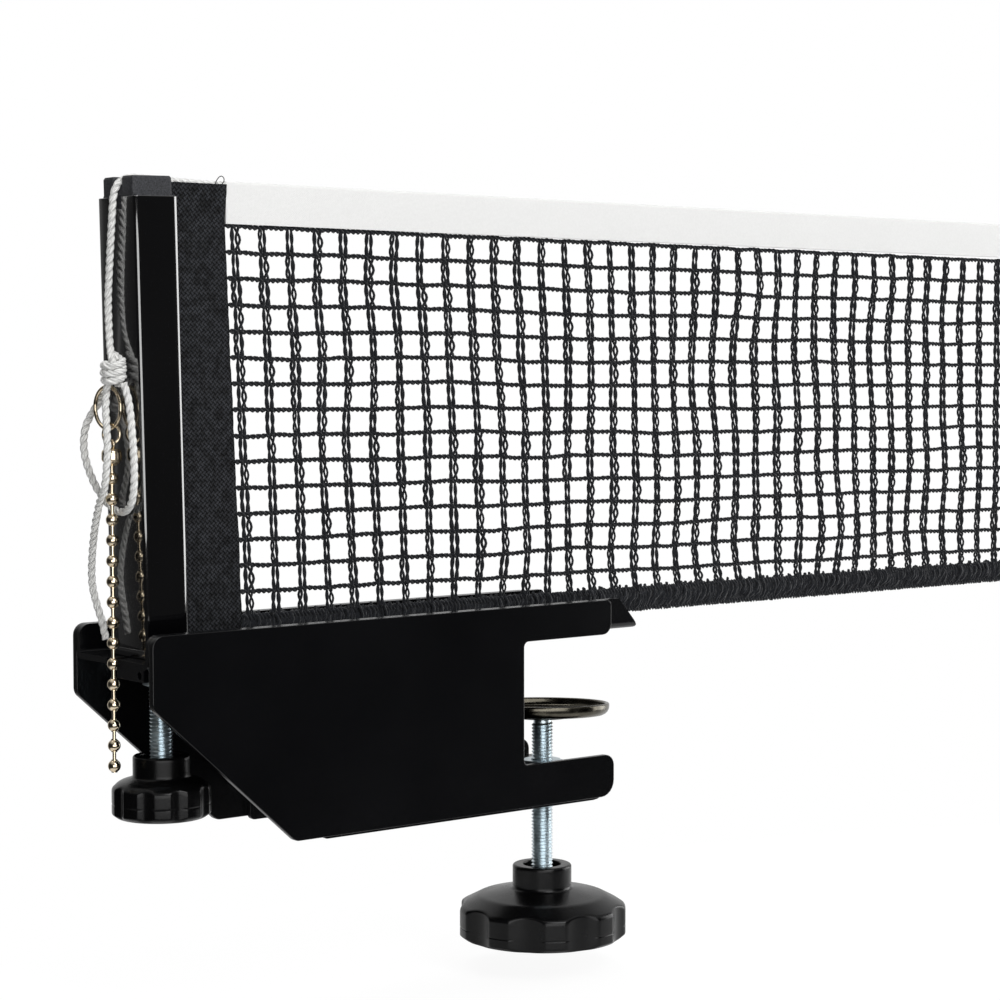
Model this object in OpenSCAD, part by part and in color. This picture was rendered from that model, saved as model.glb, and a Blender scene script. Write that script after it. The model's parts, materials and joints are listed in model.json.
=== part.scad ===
// Table tennis net clamp: a two-armed steel frame that grips a table's edge
// with a screw and pad, and carries the post, the net's end and its cord.
// Millimetres, +Z up. +X runs along the net, over the table, and +Y across it.
// The origin is on the clamp screw's axis, in the plane of the table's top.

/* [Frame] */
// Distance from the frame's outer edge to the back of the jaw
overhang = 152.5; // [140:0.5:170]
// Distance from the back of the jaw to the clamp screw's axis
screw_inset = 29.5; // [28:0.5:36]
// Length of the upper arm, from the back of the jaw
upper_arm = 41; // [36:0.5:48]
// Length of the lower arm, from the back of the jaw
lower_arm = 42.5; // [40:0.5:50]
// Height of the upper arm
upper_arm_h = 12.6; // [10:0.2:16]
// Height of the jaw's opening
jaw_h = 44.4; // [40:0.2:56]
// Height of the lower arm
lower_arm_h = 15.4; // [12:0.2:20]
// Outside width over both side plates
frame_w = 52; // [50:1:60]
// Thickness of each side plate
plate_t = 2.5; // [2:0.1:3]
// Drop of the outer edge below the table's top
heel_drop = 10.8; // [8:0.2:14]
// Length of the slanted lower edge, along X
heel_run = 54.5; // [40:0.5:70]
// Radius of the side plates' outer corners
corner_r = 4; // [2:0.5:6]

/* [Channels] */
// Thickness of both channels' sheet
sheet_t = 2; // [1.5:0.1:2.2]
// Inside radius of the channels' bends
bend_r = 1.2; // [0.6:0.1:2]
// Height of the upper channel's underside above the table's top
web_lift = 1.2; // [0.4:0.1:1.6]
// Length of the upper channel's nose beyond the side plates
nose_len = 15; // [10:0.5:20]
// Length of the slope at the nose's end
nose_slope = 9; // [5:0.5:12]
// Width of the chain notch's mouth
notch_w = 6.8; // [6.4:0.1:8]
// Depth of the chain notch's mouth
notch_depth = 5.5; // [5:0.1:7]
// Width of the narrow slot that locks the chain between two beads
lock_slot_w = 2.4; // [1.8:0.1:3]
// Length of that narrow slot
lock_slot_len = 3; // [2:0.5:4]
// Height of the folded lip under the outer edge
lip_h = 4; // [3:0.5:6]
// Diameter of the hole in the lip
lip_hole_d = 2.6; // [2:0.1:3]
// Distance from the outer edge to the lower channel's start
lower_channel_start = 67; // [60:1:75]
// Depth of the lower channel's web below the lower arm's top edge
lower_web_drop = 5.6; // [4:0.1:7]
// Stand of the lower channel's flanges below the side plates
flange_stand = 1.2; // [0:0.1:2]

/* [Clamp screw and pad] */
// Diameter of both screws' threads
thread_d = 8; // [6:0.5:8]
// Radial clearance of a screw in its nut
thread_gap = 0.05; // [0.02:0.01:0.1]
// Diameter of the pad
pad_d = 50; // [44:1:52]
// Height of the pad from its flat underside to its rim
pad_h = 4.5; // [3.5:0.1:6]
// Thickness of the pad's sheet
pad_t = 1.5; // [1:0.1:2]
// Depth by which the pad's centre is sunk
pad_sink = 1.5; // [1:0.1:2]
// Distance from the table's top down to the pad's rim
pad_drop = 27; // [26:0.5:29]
// Angle by which the loose pad tips to one side
pad_tip = 3.4; // [0:0.1:3.6]
// Direction in which the pad tips, from +X towards +Y
pad_tip_dir = 51.5; // [0:0.5:180]
// Free play of the pad between the screw's shoulder and its head
pad_play = 0.45; // [0.42:0.01:0.6]
// Diameter of the screw's turned-down neck
neck_d = 5.2; // [4.6:0.1:5.4]
// Distance from the table's top down to the clamp knob's collar
clamp_knob_drop = 87.5; // [84:0.5:95]

/* [Knobs] */
// Diameter of the clamp knob
clamp_knob_d = 62.8; // [56:0.2:68]
// Diameter of the clamp knob's collar
clamp_collar_d = 22; // [20:0.5:26]
// Height of the clamp knob's collar
clamp_collar_h = 8.9; // [7:0.1:12]
// Height of the clamp knob's domed shoulder
clamp_dome_h = 6.5; // [5:0.1:9]
// Height of the clamp knob's rim
clamp_rim_h = 11.7; // [11:0.1:15]
// Diameter of the height knob
height_knob_d = 33.2; // [30:0.2:38]
// Diameter of the height knob's collar
height_collar_d = 19; // [18:0.5:22]
// Height of the height knob's collar
height_collar_h = 7.3; // [6:0.1:9]
// Height of the height knob's shoulder
height_dome_h = 3.4; // [2.5:0.1:5]
// Height of the height knob's rim
height_rim_h = 9.9; // [9.5:0.1:12]
// Thickness of the cover under each knob
cover_t = 4.6; // [3:0.1:5]
// Number of grips round each knob
grips = 9; // [6:1:12]

/* [Post] */
// Distance from the frame's outer edge to the height screw's axis
height_screw_inset = 18.4; // [18:0.1:19]
// Distance from the frame's outer edge to the post's foot
post_inset = 14.5; // [14:0.1:15]
// Width of the post's tube along the net
post_w = 16.2; // [16:0.1:18]
// Depth of the post's tube across the net
post_d = 24; // [20:0.5:28]
// Wall of the post's tube
post_wall = 1.5; // [1.2:0.1:1.6]
// Lean of the post away from the table
post_lean = 1.3; // [0:0.1:2]
// Thickness of the foot under the tube
foot_t = 3; // [2.5:0.1:4]
// Gap between the upper channel and the lowered post's foot
foot_gap = 0.1; // [0.05:0.05:0.3]
// Height of the cap above the tube
cap_h = 6.6; // [5:0.1:9]
// Width of the slot that the net's sleeve passes through
sleeve_slot_w = 4; // [3:0.1:5]
// Distance from the table's top down to the height knob's collar
height_knob_drop = 30.2; // [28:0.2:34]
// Diameter of the rod in the net's sleeve
rod_d = 5; // [4:0.1:5.4]

/* [Net] */
// Distance from the clamp screw's axis to the net's bound end
net_reach = 270; // [200:1:400]
// Height of the tape's upper edge above the table's top
net_top = 160; // [156:0.5:164]
// Height of the net's lower edge above the table's top
net_bottom = 6; // [5:0.5:9]
// Height of the tape
tape_h = 15.6; // [12:0.2:18]
// Thickness of the folded tape
tape_t = 2.2; // [1.6:0.1:3]
// Spacing of the net's rows
row_pitch = 8.8; // [8:0.1:10]
// Spacing of the net's drawn columns
column_pitch = 22; // [20:1:30]
// Thickness of the net's strings
string_t = 1.2; // [0.8:0.1:1.6]
// Width of a drawn column, which is a pair of strings
column_w = 2.6; // [1.6:0.1:3]
// Height of the hem along the net's lower edge
hem_h = 5.4; // [4:0.1:7]
// Thickness of the hem
hem_t = 3; // [2:0.1:4]
// Width of the band between the post and the net, at its top
band_top_w = 24.5; // [20:0.5:30]
// Width of the band between the post and the net, at its foot
band_foot_w = 28; // [22:0.5:34]
// Thickness of the band's cloth
band_t = 1.4; // [1:0.1:2]
// Width of the binding at the net's end
binding_w = 8; // [6:1:12]

/* [Cord and chain] */
// Diameter of the tensioning cord
cord_d = 2.6; // [2:0.1:3]
// Outside diameter of the ring on the cord
ring_d = 15; // [13:0.5:18]
// Thickness of the ring's wire
ring_wire_d = 1.3; // [1:0.1:1.6]
// Outside diameter of the link between the ring and the chain
link_d = 7.6; // [6:0.1:9]
// Thickness of the link's wire
link_wire_d = 1; // [0.8:0.1:1.2]
// Diameter of the clasp that joins the chain to the link
clasp_d = 6.6; // [6:0.1:8]
// Height of that clasp
clasp_h = 5.8; // [5.4:0.1:8]
// Diameter of the chain's beads
bead_d = 4.2; // [3.6:0.1:4.6]
// Spacing of the beads
bead_pitch = 6.72; // [6:0.02:8]
// Number of beads
bead_count = 16; // [12:1:18]
// Thickness of the wire between the beads
bead_wire_d = 1.2; // [1:0.1:1.4]

/* [Hidden] */

black_paint = "#17181a";
black_plastic = "#1d1e20";
charcoal = "#2a2b2d";
black_cloth = "#1b1b1d";
white_cloth = "#f4f4f2";
zinc = "#b9c4cc";
dark_nickel = "#6f6c68";
gold_nickel = "#c9bda6";

// Places along X
outer_x = -overhang - screw_inset;
jaw_x = -screw_inset;
upper_end_x = jaw_x + upper_arm;
lower_end_x = jaw_x + lower_arm;
nose_x = upper_end_x + nose_len;
height_x = outer_x + height_screw_inset;
post_x = outer_x + post_inset;

// Heights
lower_top_z = -jaw_h;
frame_bottom_z = lower_top_z - lower_arm_h;
web_top_z = web_lift + sheet_t;
lower_web_z = lower_top_z - lower_web_drop;
foot_z = web_top_z + foot_gap;
post_z = foot_z + foot_t;
post_len = net_top - cap_h - post_z;
channel_w = frame_w - 2 * plate_t;

// Screws and their nuts
thread_r = thread_d / 2;
nut_bore_r = thread_r + thread_gap;
clamp_nut_flange_r = thread_r + 3.1;
clamp_nut_flange_h = 1.8;
clamp_nut_barrel_r = thread_r + 1.6;
clamp_nut_depth = 6;
height_nut_flange_r = thread_r + 4;
height_nut_flange_h = 1.5;
height_nut_barrel_r = thread_r + 2;
height_nut_h = 8;
web_hole_r = thread_r + 0.4;
head_across = 1.625 * thread_d;
head_h = 5.3;
head_gap = 0.1;
journal_r = 1.8;
journal_gap = 0.05;
journal_h = 7;
thrust_gap = 0.05;
edge_break = 0.6;

// The pad turns and tips about the middle of its sunk plate
pad_r = pad_d / 2;
pad_floor_z = -pad_drop - pad_h + pad_t;
pad_pivot_z = pad_floor_z - pad_sink - pad_t / 2;
pad_hole_r = neck_d / 2 + 1;
pad_sunk_r = 9;
pad_corner_r = 3.2;
shoulder_z = pad_pivot_z - pad_t / 2 - pad_play;
washer_t = 0.8;
washer_r = 5.5;
washer_z = pad_pivot_z + pad_t / 2 + pad_play;
rivet_r = 4.2;
rivet_h = 0.9;

// Knobs, from the collar down
scallop_angle = 0.65 * 360 / grips;
flute_angle = 0.5 * 360 / grips;
clamp_scallop_depth = 0.04 * clamp_knob_d;
height_flute_depth = 0.04 * height_knob_d;
collar_recess_r = 1.75 * thread_r;
collar_recess_h = 3;
clamp_knob_h = clamp_collar_h + clamp_dome_h + clamp_rim_h;
height_knob_h = height_collar_h + height_dome_h + height_rim_h;

// Post and cap, in the leaning post's own frame with its origin at the tube's foot
post_r = 2;
inner_w = post_w - 2 * post_wall;
inner_d = post_d - 2 * post_wall;
fit_gap = 0.1;
foot_plug_h = 10;
cap_w = post_w - 1.4;
cap_d = post_d - 5;
cap_plug_h = 10;
cap_edge_r = 1.5;
cap_step_h = 0.6;
groove_w = cord_d + 3.4;
groove_depth = 2;
cord_slot_w = cord_d + 3.9;
cord_slot_h = 4;
rod_x = 1;
rod_foot_h = foot_plug_h + 1;
rod_len = post_len - cap_plug_h - rod_foot_h - 1;
sleeve_r = rod_d / 2 + 0.9;
sleeve_gap = 0.3;

// Net
tape_foot_z = net_top - tape_h;
hem_top_z = net_bottom + hem_h;
band_foot_z = web_top_z + 0.8;
band_head_z = net_top - cord_d - 0.3;
net_end_x = net_reach - binding_w;

// The cord's strands, with X counted from the frame's outer edge
cord_route = [
    [44.2, 0, 158.6], [32, -0.2, 158.8], [20, -0.6, 159.3], [13.5, -1, 159.5],
    [7.4, -1.2, 159.4], [3.5, -1.2, 157.7], [1.7, -1, 153.8], [1.4, -0.2, 146],
    [1.6, 1.6, 134], [1.6, 3, 120], [1.2, 1.8, 109], [0.2, -0.8, 102.6]
];
tail_route = [
    [-1.6, -1.6, 92.6], [-2.6, -2.2, 86], [-3.3, -4, 78], [-3.6, -4.8, 71.5],
    [-3.8, -4.4, 65], [-3.6, -2.6, 59.2], [-2.2, 3.4, 53.4], [-0.8, 9, 45],
    [0.3, 12.9, 35], [1, 14.2, 27], [1.5, 12.6, 20.8], [2, 9.8, 14.8], [2.4, 7.8, 8.6]
];
loop_route = [
    [1, -0.6, 94.6], [2, 3, 93.2], [2.2, 6.6, 89.8], [1.8, 10.2, 86.4], [-0.2, 11.8, 82.4],
    [-2.4, 11.6, 78.2], [-3.4, 11, 73], [-3.3, 10, 68], [-2, 9.2, 63],
    [0, 8.6, 58.4], [2.2, 7, 54.4], [3.6, 4, 51.8], [3.8, -0.4, 51],
    [3, -5.4, 51.8], [2.2, -10, 54.8], [1.9, -12, 60.4], [1.8, -12.3, 68.4],
    [1.6, -11.5, 78], [1.3, -10.2, 87], [0.8, -8, 93]
];
knot_at = [-0.4, -3.6, 97];
ring_at = [0.2, 1.4, 85];
ring_turn = 7;
rings_per_span = 2;
cord_sides = 8;

// Centre height of a wire ring that hangs on a wire whose own centre is at z
function hung_z(z, held_wire, d, wire) = z + held_wire / 2 + wire + hang_play - d / 2;

// The link hangs a little to one side of the ring's lowest point, the clasp's eye
// on the link, and the first bead in the clasp
hang_play = 0.1;
hang_angle = 19;
chain_play = 0.3;
hang_r = (ring_d - ring_wire_d) / 2;
chain_x = outer_x + ring_at.x;
chain_y = ring_at.y - hang_r * sin(hang_angle);
link_z = hung_z(ring_at.z - hang_r * cos(hang_angle), ring_wire_d, link_d, link_wire_d);
eye_d = 3.4;
eye_z = hung_z(link_z - (link_d - link_wire_d) / 2, link_wire_d, eye_d, link_wire_d);
clasp_wall = 0.5;
clasp_mouth_r = bead_wire_d / 2 + 0.8;
clasp_top_z = eye_z - (eye_d - link_wire_d) / 2;
clasp_foot_z = clasp_top_z - clasp_h;
chain_top_z = clasp_foot_z + clasp_wall + bead_d / 2 + 0.1;

// The chain bends at the bead that lies in the notch
pivot_bead = round((chain_top_z - web_lift) / bead_pitch);
pivot_z = chain_top_z - pivot_bead * bead_pitch;

// ---- Shared shapes ----

function unit(v) = v / norm(v);

// Arc that replaces corner b of the path a, b, c with the radius r
function corner_arc(a, b, c, r, steps = 6) =
    r <= 0 ? [b] :
    let (u = unit(a - b), w = unit(c - b), half = acos(u * w) / 2,
         centre = b + unit(u + w) * r / sin(half),
         p = b + u * r / tan(half) - centre, q = b + w * r / tan(half) - centre,
         start = atan2(p.y, p.x),
         turn = (atan2(q.y, q.x) - start + 540) % 360 - 180)
    [for (i = [0:steps]) centre + r * [cos(start + turn * i / steps), sin(start + turn * i / steps)]];

// Outline through points, with its own radius at each corner
function rounded(points, radii) =
    let (n = len(points))
    [for (i = [0:n - 1])
        each corner_arc(points[(i + n - 1) % n], points[i], points[(i + 1) % n], radii[i])];

function rounded_box(w, h, r) =
    rounded([[-w, -h] / 2, [w, -h] / 2, [w, h] / 2, [-w, h] / 2], [r, r, r, r]);

// Extrudes an XZ outline to the thickness t, centred on y
module upright(t, y = 0) {
    translate([0, y, 0]) rotate([90, 0, 0]) linear_extrude(t, center = true) children();
}

// Catmull-Rom point on the span from b to c
function span_point(a, b, c, d, t) =
    0.5 * (2 * b + (c - a) * t + (2 * a - 5 * b + 4 * c - d) * t * t
        + (3 * b - a - 3 * c + d) * t * t * t);

function smooth_path(points, steps) =
    let (last = len(points) - 1)
    [for (i = [0:last - 1], k = [0:steps - 1])
        span_point(points[max(i - 1, 0)], points[i], points[i + 1],
            points[min(i + 2, last)], k / steps),
     points[last]];

// Round tube along a path; side is a direction that the path never follows
module tube(path, d, side) {
    n = len(path);
    rings = [for (i = [0:n - 1])
        let (along = unit(path[min(i + 1, n - 1)] - path[max(i - 1, 0)]),
             across = unit(cross(along, side)), up = cross(across, along))
        for (k = [0:cord_sides - 1])
            path[i] + d / 2 * (across * cos(360 * k / cord_sides) + up * sin(360 * k / cord_sides))];
    polyhedron(rings, concat(
        [[for (k = [0:cord_sides - 1]) k]],
        [for (i = [0:n - 2], k = [0:cord_sides - 1])
            let (a = i * cord_sides + k, b = i * cord_sides + (k + 1) % cord_sides)
            each [[a, b + cord_sides, b], [a, a + cord_sides, b + cord_sides]]],
        [[for (k = [cord_sides - 1:-1:0]) (n - 1) * cord_sides + k]]));
}

// Closed ring of round wire, standing across X
module wire_ring(d, wire) {
    rotate([0, 90, 0]) rotate_extrude($fn = 48) translate([(d - wire) / 2, 0]) circle(d = wire, $fn = 16);
}

// ---- Frame ----

module plate_outline() {
    polygon(rounded(
        [[outer_x, upper_arm_h], [outer_x, -heel_drop], [outer_x + heel_run, frame_bottom_z],
         [lower_end_x, frame_bottom_z], [lower_end_x, lower_top_z], [jaw_x, lower_top_z],
         [jaw_x, 0], [upper_end_x, 0], [upper_end_x, upper_arm_h]],
        [corner_r, corner_r, corner_r, 1.5 * corner_r, corner_r, corner_r / 2,
         corner_r / 2, corner_r, corner_r / 2]));
}

module side_plate(side) {
    color(black_paint) upright(plate_t, side * (frame_w - plate_t) / 2) plate_outline();
}

module side_plate_front() { side_plate(-1); }

module side_plate_rear() { side_plate(1); }

// U section with its web at the bottom, extruded along X
module channel(start_x, end_x, depth) {
    w = channel_w / 2;
    s = sheet_t;
    translate([start_x, 0, 0]) rotate([90, 0, 90]) linear_extrude(end_x - start_x)
        polygon(rounded(
            [[-w, depth], [-w, 0], [w, 0], [w, depth], [w - s, depth], [w - s, s], [s - w, s], [s - w, depth]],
            [0, bend_r + s, bend_r + s, 0, 0, bend_r, bend_r, 0]));
}

module chain_notch() {
    cut = 3 * sheet_t;
    translate([outer_x - 1, 0, web_lift + sheet_t / 2]) {
        translate([0, -notch_w / 2, -cut / 2]) cube([notch_depth + 1 - notch_w / 2, notch_w, cut]);
        translate([notch_depth + 1 - notch_w / 2, 0, -cut / 2]) cylinder(d = notch_w, h = cut, $fn = 32);
        translate([1, -lock_slot_w / 2, -cut / 2]) cube([notch_depth + lock_slot_len, lock_slot_w, cut]);
    }
}

module folded_lip() {
    lip_w = (channel_w - notch_w) / 2 - sheet_t - bend_r;
    hole_y = lip_w - lip_hole_d;
    translate([outer_x, -notch_w / 2 - lip_w, web_lift - lip_h]) difference() {
        cube([sheet_t, lip_w, lip_h + sheet_t / 2]);
        translate([-1, lip_w - hole_y, lip_h / 2]) rotate([0, 90, 0])
            cylinder(d = lip_hole_d, h = sheet_t + 2, $fn = 32);
    }
}

module upper_channel() {
    color(black_paint) difference() {
        union() {
            intersection() {
                translate([0, 0, web_lift]) channel(outer_x, nose_x, upper_arm_h - web_lift);
                upright(frame_w) polygon(rounded(
                    [[outer_x, upper_arm_h], [outer_x, web_lift], [nose_x, web_lift],
                     [nose_x, web_top_z - sheet_t / 2], [nose_x - nose_slope, upper_arm_h]],
                    [corner_r, 0, sheet_t / 3, sheet_t / 3, corner_r / 3]));
            }
            folded_lip();
        }
        chain_notch();
        translate([height_x, 0, 0]) cylinder(r = web_hole_r, h = 2 * web_top_z, $fn = 48);
    }
}

module lower_channel() {
    depth = lower_web_z - frame_bottom_z + flange_stand;
    start_x = outer_x + lower_channel_start;
    end_x = lower_end_x - edge_break;
    color(black_paint) difference() {
        intersection() {
            translate([0, 0, lower_web_z]) mirror([0, 0, 1]) channel(start_x, end_x, depth);
            upright(frame_w) polygon(rounded(
                [[start_x, lower_web_z], [start_x, lower_web_z - depth],
                 [end_x, lower_web_z - depth], [end_x, lower_web_z]],
                [0, corner_r / 2, 1.8 * corner_r, 0]));
        }
        translate([0, 0, lower_web_z - sheet_t - 1])
            cylinder(r = clamp_nut_barrel_r, h = sheet_t + 2, $fn = 48);
    }
}

// ---- Clamp screw, nut and pad ----

module clamp_nut() {
    color(zinc) difference() {
        union() {
            translate([0, 0, lower_web_z]) cylinder(r = clamp_nut_flange_r, h = clamp_nut_flange_h, $fn = 64);
            translate([0, 0, lower_web_z - clamp_nut_depth])
                cylinder(r = clamp_nut_barrel_r, h = clamp_nut_depth + 0.5, $fn = 48);
        }
        translate([0, 0, lower_web_z - clamp_nut_depth - 1])
            cylinder(r = nut_bore_r, h = clamp_nut_depth + clamp_nut_flange_h + 2, $fn = 48);
    }
}

// Hexagon head, standing on its underside
module hex_head() {
    cylinder(d = head_across / cos(30), h = head_h, $fn = 6);
}

module clamp_screw() {
    head_top_z = -clamp_knob_drop - clamp_knob_h + cover_t + head_h + head_gap;
    head_z = head_top_z - head_h;
    color(zinc) union() {
        translate([0, 0, head_z]) hex_head();
        translate([0, 0, head_z + 1]) cylinder(r = thread_r, h = shoulder_z - head_z - 1 - edge_break, $fn = 48);
        translate([0, 0, shoulder_z - edge_break])
            cylinder(r1 = thread_r, r2 = thread_r - edge_break, h = edge_break, $fn = 48);
        translate([0, 0, shoulder_z - 1])
            cylinder(d = neck_d, h = washer_z + washer_t - shoulder_z + 1 + thrust_gap + 0.2, $fn = 48);
        translate([0, 0, washer_z + washer_t + thrust_gap])
            cylinder(r1 = rivet_r, r2 = 0.7 * rivet_r, h = rivet_h, $fn = 48);
    }
}

module pad_washer() {
    color(zinc) translate([0, 0, washer_z]) difference() {
        cylinder(r = washer_r, h = washer_t, $fn = 48);
        translate([0, 0, -1]) cylinder(r = neck_d / 2 + 2 * thread_gap, h = washer_t + 2, $fn = 48);
    }
}

// Half of the pad's section, from its hole out to the rim
module pad_section() {
    floor_z = pad_t / 2 + pad_sink;
    rim_z = floor_z + pad_h - pad_t;
    wall_x = pad_r - pad_t;
    polygon(rounded(
        [[pad_hole_r, -pad_t / 2], [pad_sunk_r, -pad_t / 2],
         [pad_sunk_r + pad_sink, floor_z - pad_t], [pad_r, floor_z - pad_t], [pad_r, rim_z],
         [wall_x, rim_z], [wall_x, floor_z], [pad_sunk_r + pad_sink - 0.6, floor_z],
         [pad_sunk_r - 0.6, pad_t / 2], [pad_hole_r, pad_t / 2]],
        [0, 0, 0, pad_corner_r, pad_t / 2.1, pad_t / 2.1, pad_corner_r - pad_t, 0, 0, 0]));
}

module pad_disc() {
    color(dark_nickel) translate([0, 0, pad_pivot_z])
        rotate(a = pad_tip, v = [-sin(pad_tip_dir), cos(pad_tip_dir), 0])
        rotate_extrude($fn = 96) pad_section();
}

// ---- Knobs ----

// Outline of a knob's rim, with round cuts of the given angle and depth
module grip_outline(r, angle, depth) {
    reach = r * cos(angle / 2) - (r - depth);
    cut_r = (pow(reach, 2) + pow(r * sin(angle / 2), 2)) / (2 * reach);
    difference() {
        circle(r, $fn = 96);
        for (i = [0:grips - 1]) rotate((i + 0.5) * 360 / grips)
            translate([r - depth + cut_r, 0]) circle(cut_r, $fn = 96);
    }
}

// Knob standing on its cover, with a collar on top and a pocket for the screw's head below
module knob_body(r, collar_r, collar_h, dome_h, rim_h, angle, depth) {
    body_h = collar_h + dome_h + rim_h - cover_t;
    difference() {
        union() {
            intersection() {
                rotate_extrude($fn = 96) polygon(
                    [[0, 0], [r, 0], [r, rim_h - cover_t - 1], [r - 0.8, rim_h - cover_t + 0.3],
                     [0.68 * r + 0.32 * collar_r, body_h - collar_h - 0.28 * dome_h],
                     [collar_r, body_h - collar_h], [0, body_h - collar_h]]);
                linear_extrude(body_h) grip_outline(r, angle, depth);
            }
            cylinder(r = collar_r, h = body_h - 0.8, $fn = 64);
            translate([0, 0, body_h - 0.8]) cylinder(r1 = collar_r, r2 = collar_r - 0.8, h = 0.8, $fn = 64);
        }
        translate([0, 0, -1]) cylinder(r = thread_r + thread_gap, h = body_h + 2, $fn = 48);
        translate([0, 0, body_h - collar_recess_h]) cylinder(r = collar_recess_r, h = collar_recess_h + 1, $fn = 48);
        translate([0, 0, -1])
            cylinder(d = (head_across + 2 * head_gap) / cos(30), h = head_h + 2 * head_gap + 1, $fn = 6);
    }
}

// Cover snapped under a knob, standing on its flat face
module knob_cover(r, angle, depth) {
    intersection() {
        rotate_extrude($fn = 96) polygon([[0, 0], [r - 2, 0], [r - 0.6, 0.6], [r, 1.8], [r, cover_t], [0, cover_t]]);
        linear_extrude(cover_t) grip_outline(r, angle, depth);
    }
}

module clamp_knob() {
    color(black_plastic) translate([0, 0, -clamp_knob_drop - clamp_knob_h + cover_t])
        knob_body(clamp_knob_d / 2, clamp_collar_d / 2, clamp_collar_h, clamp_dome_h, clamp_rim_h,
            scallop_angle, clamp_scallop_depth);
}

module clamp_knob_cover() {
    color(black_plastic) translate([0, 0, -clamp_knob_drop - clamp_knob_h])
        knob_cover(clamp_knob_d / 2, scallop_angle, clamp_scallop_depth);
}

module height_knob() {
    color(black_plastic) translate([height_x, 0, -height_knob_drop - height_knob_h + cover_t])
        knob_body(height_knob_d / 2, height_collar_d / 2, height_collar_h, height_dome_h, height_rim_h,
            flute_angle, height_flute_depth);
}

module height_knob_cover() {
    color(black_plastic) translate([height_x, 0, -height_knob_drop - height_knob_h])
        knob_cover(height_knob_d / 2, flute_angle, height_flute_depth);
}

// ---- Height screw and post ----

module height_nut() {
    color(zinc) translate([height_x, 0, web_lift - height_nut_h]) difference() {
        union() {
            cylinder(r = height_nut_barrel_r, h = height_nut_h, $fn = 48);
            translate([0, 0, height_nut_h - height_nut_flange_h])
                cylinder(r = height_nut_flange_r, h = height_nut_flange_h, $fn = 64);
        }
        translate([0, 0, -1]) cylinder(r = nut_bore_r, h = height_nut_h + 2, $fn = 48);
    }
}

module height_screw() {
    head_z = -height_knob_drop - height_knob_h + cover_t + head_gap;
    shaft_top_z = foot_z - thrust_gap;
    color(zinc) translate([height_x, 0, 0]) union() {
        translate([0, 0, head_z]) hex_head();
        translate([0, 0, head_z + 1]) cylinder(r = thread_r, h = shaft_top_z - head_z - 1 - edge_break, $fn = 48);
        translate([0, 0, shaft_top_z - edge_break])
            cylinder(r1 = thread_r, r2 = thread_r - edge_break, h = edge_break, $fn = 48);
        translate([0, 0, shaft_top_z - 1]) cylinder(r = journal_r, h = journal_h + 1, $fn = 48);
    }
}

// Places its children in the leaning post's own frame
module on_post() {
    translate([post_x, 0, post_z]) rotate([0, -post_lean, 0]) children();
}

module post_foot() {
    color(black_paint) difference() {
        on_post() {
            translate([0, 0, -1.5 * foot_t]) linear_extrude(1.5 * foot_t) polygon(rounded_box(post_w, post_d, post_r));
            linear_extrude(foot_plug_h)
                polygon(rounded_box(inner_w - 2 * fit_gap, inner_d - 2 * fit_gap, post_r - post_wall));
        }
        translate([post_x - post_w, -post_d, foot_z - 2 * foot_t]) cube([2 * post_w, 2 * post_d, 2 * foot_t]);
        translate([height_x, 0, foot_z - 1])
            cylinder(r = journal_r + journal_gap, h = journal_h + 1.5, $fn = 48);
    }
}

module post_tube() {
    color(black_paint) on_post() difference() {
        linear_extrude(post_len) difference() {
            polygon(rounded_box(post_w, post_d, post_r));
            polygon(rounded_box(inner_w, inner_d, post_r - post_wall));
        }
        translate([0, -sleeve_slot_w / 2, rod_foot_h]) cube([post_w, sleeve_slot_w, post_len]);
        translate([-post_w, -cord_slot_w / 2, post_len - cord_slot_h]) cube([post_w, cord_slot_w, 2 * cord_slot_h]);
    }
}

// Cap with a groove for the cord, which slopes down at the outer end
module post_cap() {
    top = post_len + cap_h;
    floor_z = top - groove_depth;
    slope = cap_h - groove_depth - cap_step_h;
    color(charcoal) on_post() difference() {
        union() {
            translate([0, 0, post_len]) linear_extrude(cap_h - cap_edge_r)
                polygon(rounded_box(cap_w, cap_d, post_r - 0.5));
            hull() for (inset = [0, cap_edge_r])
                translate([0, 0, top - cap_edge_r + inset - 0.1]) linear_extrude(0.1)
                    polygon(rounded_box(cap_w - inset, cap_d - inset, post_r - 0.5));
            translate([0, 0, post_len - cap_plug_h]) linear_extrude(cap_plug_h + cap_step_h)
                polygon(rounded_box(inner_w - 2 * fit_gap, inner_d - 2 * fit_gap, post_r - post_wall));
        }
        upright(groove_w) polygon(
            [[-post_w, floor_z - slope], [-cap_w / 2, floor_z - slope], [slope - cap_w / 2, floor_z],
             [post_w, floor_z], [post_w, top + 1], [-post_w, top + 1]]);
    }
}

// ---- Net ----

// Right face of the leaning tube at the height z
function tube_face_x(z) = post_x + post_w / 2 / cos(post_lean) - (z - post_z) * tan(post_lean);

// Right edge of the net's band at the height z
function band_edge_x(z) =
    let (foot_x = tube_face_x(band_foot_z) + band_foot_w, head_x = tube_face_x(band_head_z) + band_top_w)
    foot_x + (head_x - foot_x) * (z - band_foot_z) / (band_head_z - band_foot_z);

module net_rod() {
    color(zinc) on_post() translate([rod_x, 0, rod_foot_h + 0.2]) cylinder(d = rod_d, h = rod_len - 0.4, $fn = 32);
}

// Sewn tube round the rod, with the tongue that leaves through the post's slot
module net_sleeve() {
    color(black_cloth) on_post() translate([0, 0, rod_foot_h + 0.2]) difference() {
        union() {
            translate([rod_x, 0, 0]) cylinder(r = sleeve_r, h = rod_len - 0.4, $fn = 32);
            translate([rod_x, -band_t / 2, 0]) cube([post_w / 2 - rod_x + sleeve_gap, band_t, rod_len - 0.4]);
        }
        translate([rod_x, 0, -1]) cylinder(r = rod_d / 2 + 0.05, h = rod_len + 2, $fn = 32);
    }
}

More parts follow.
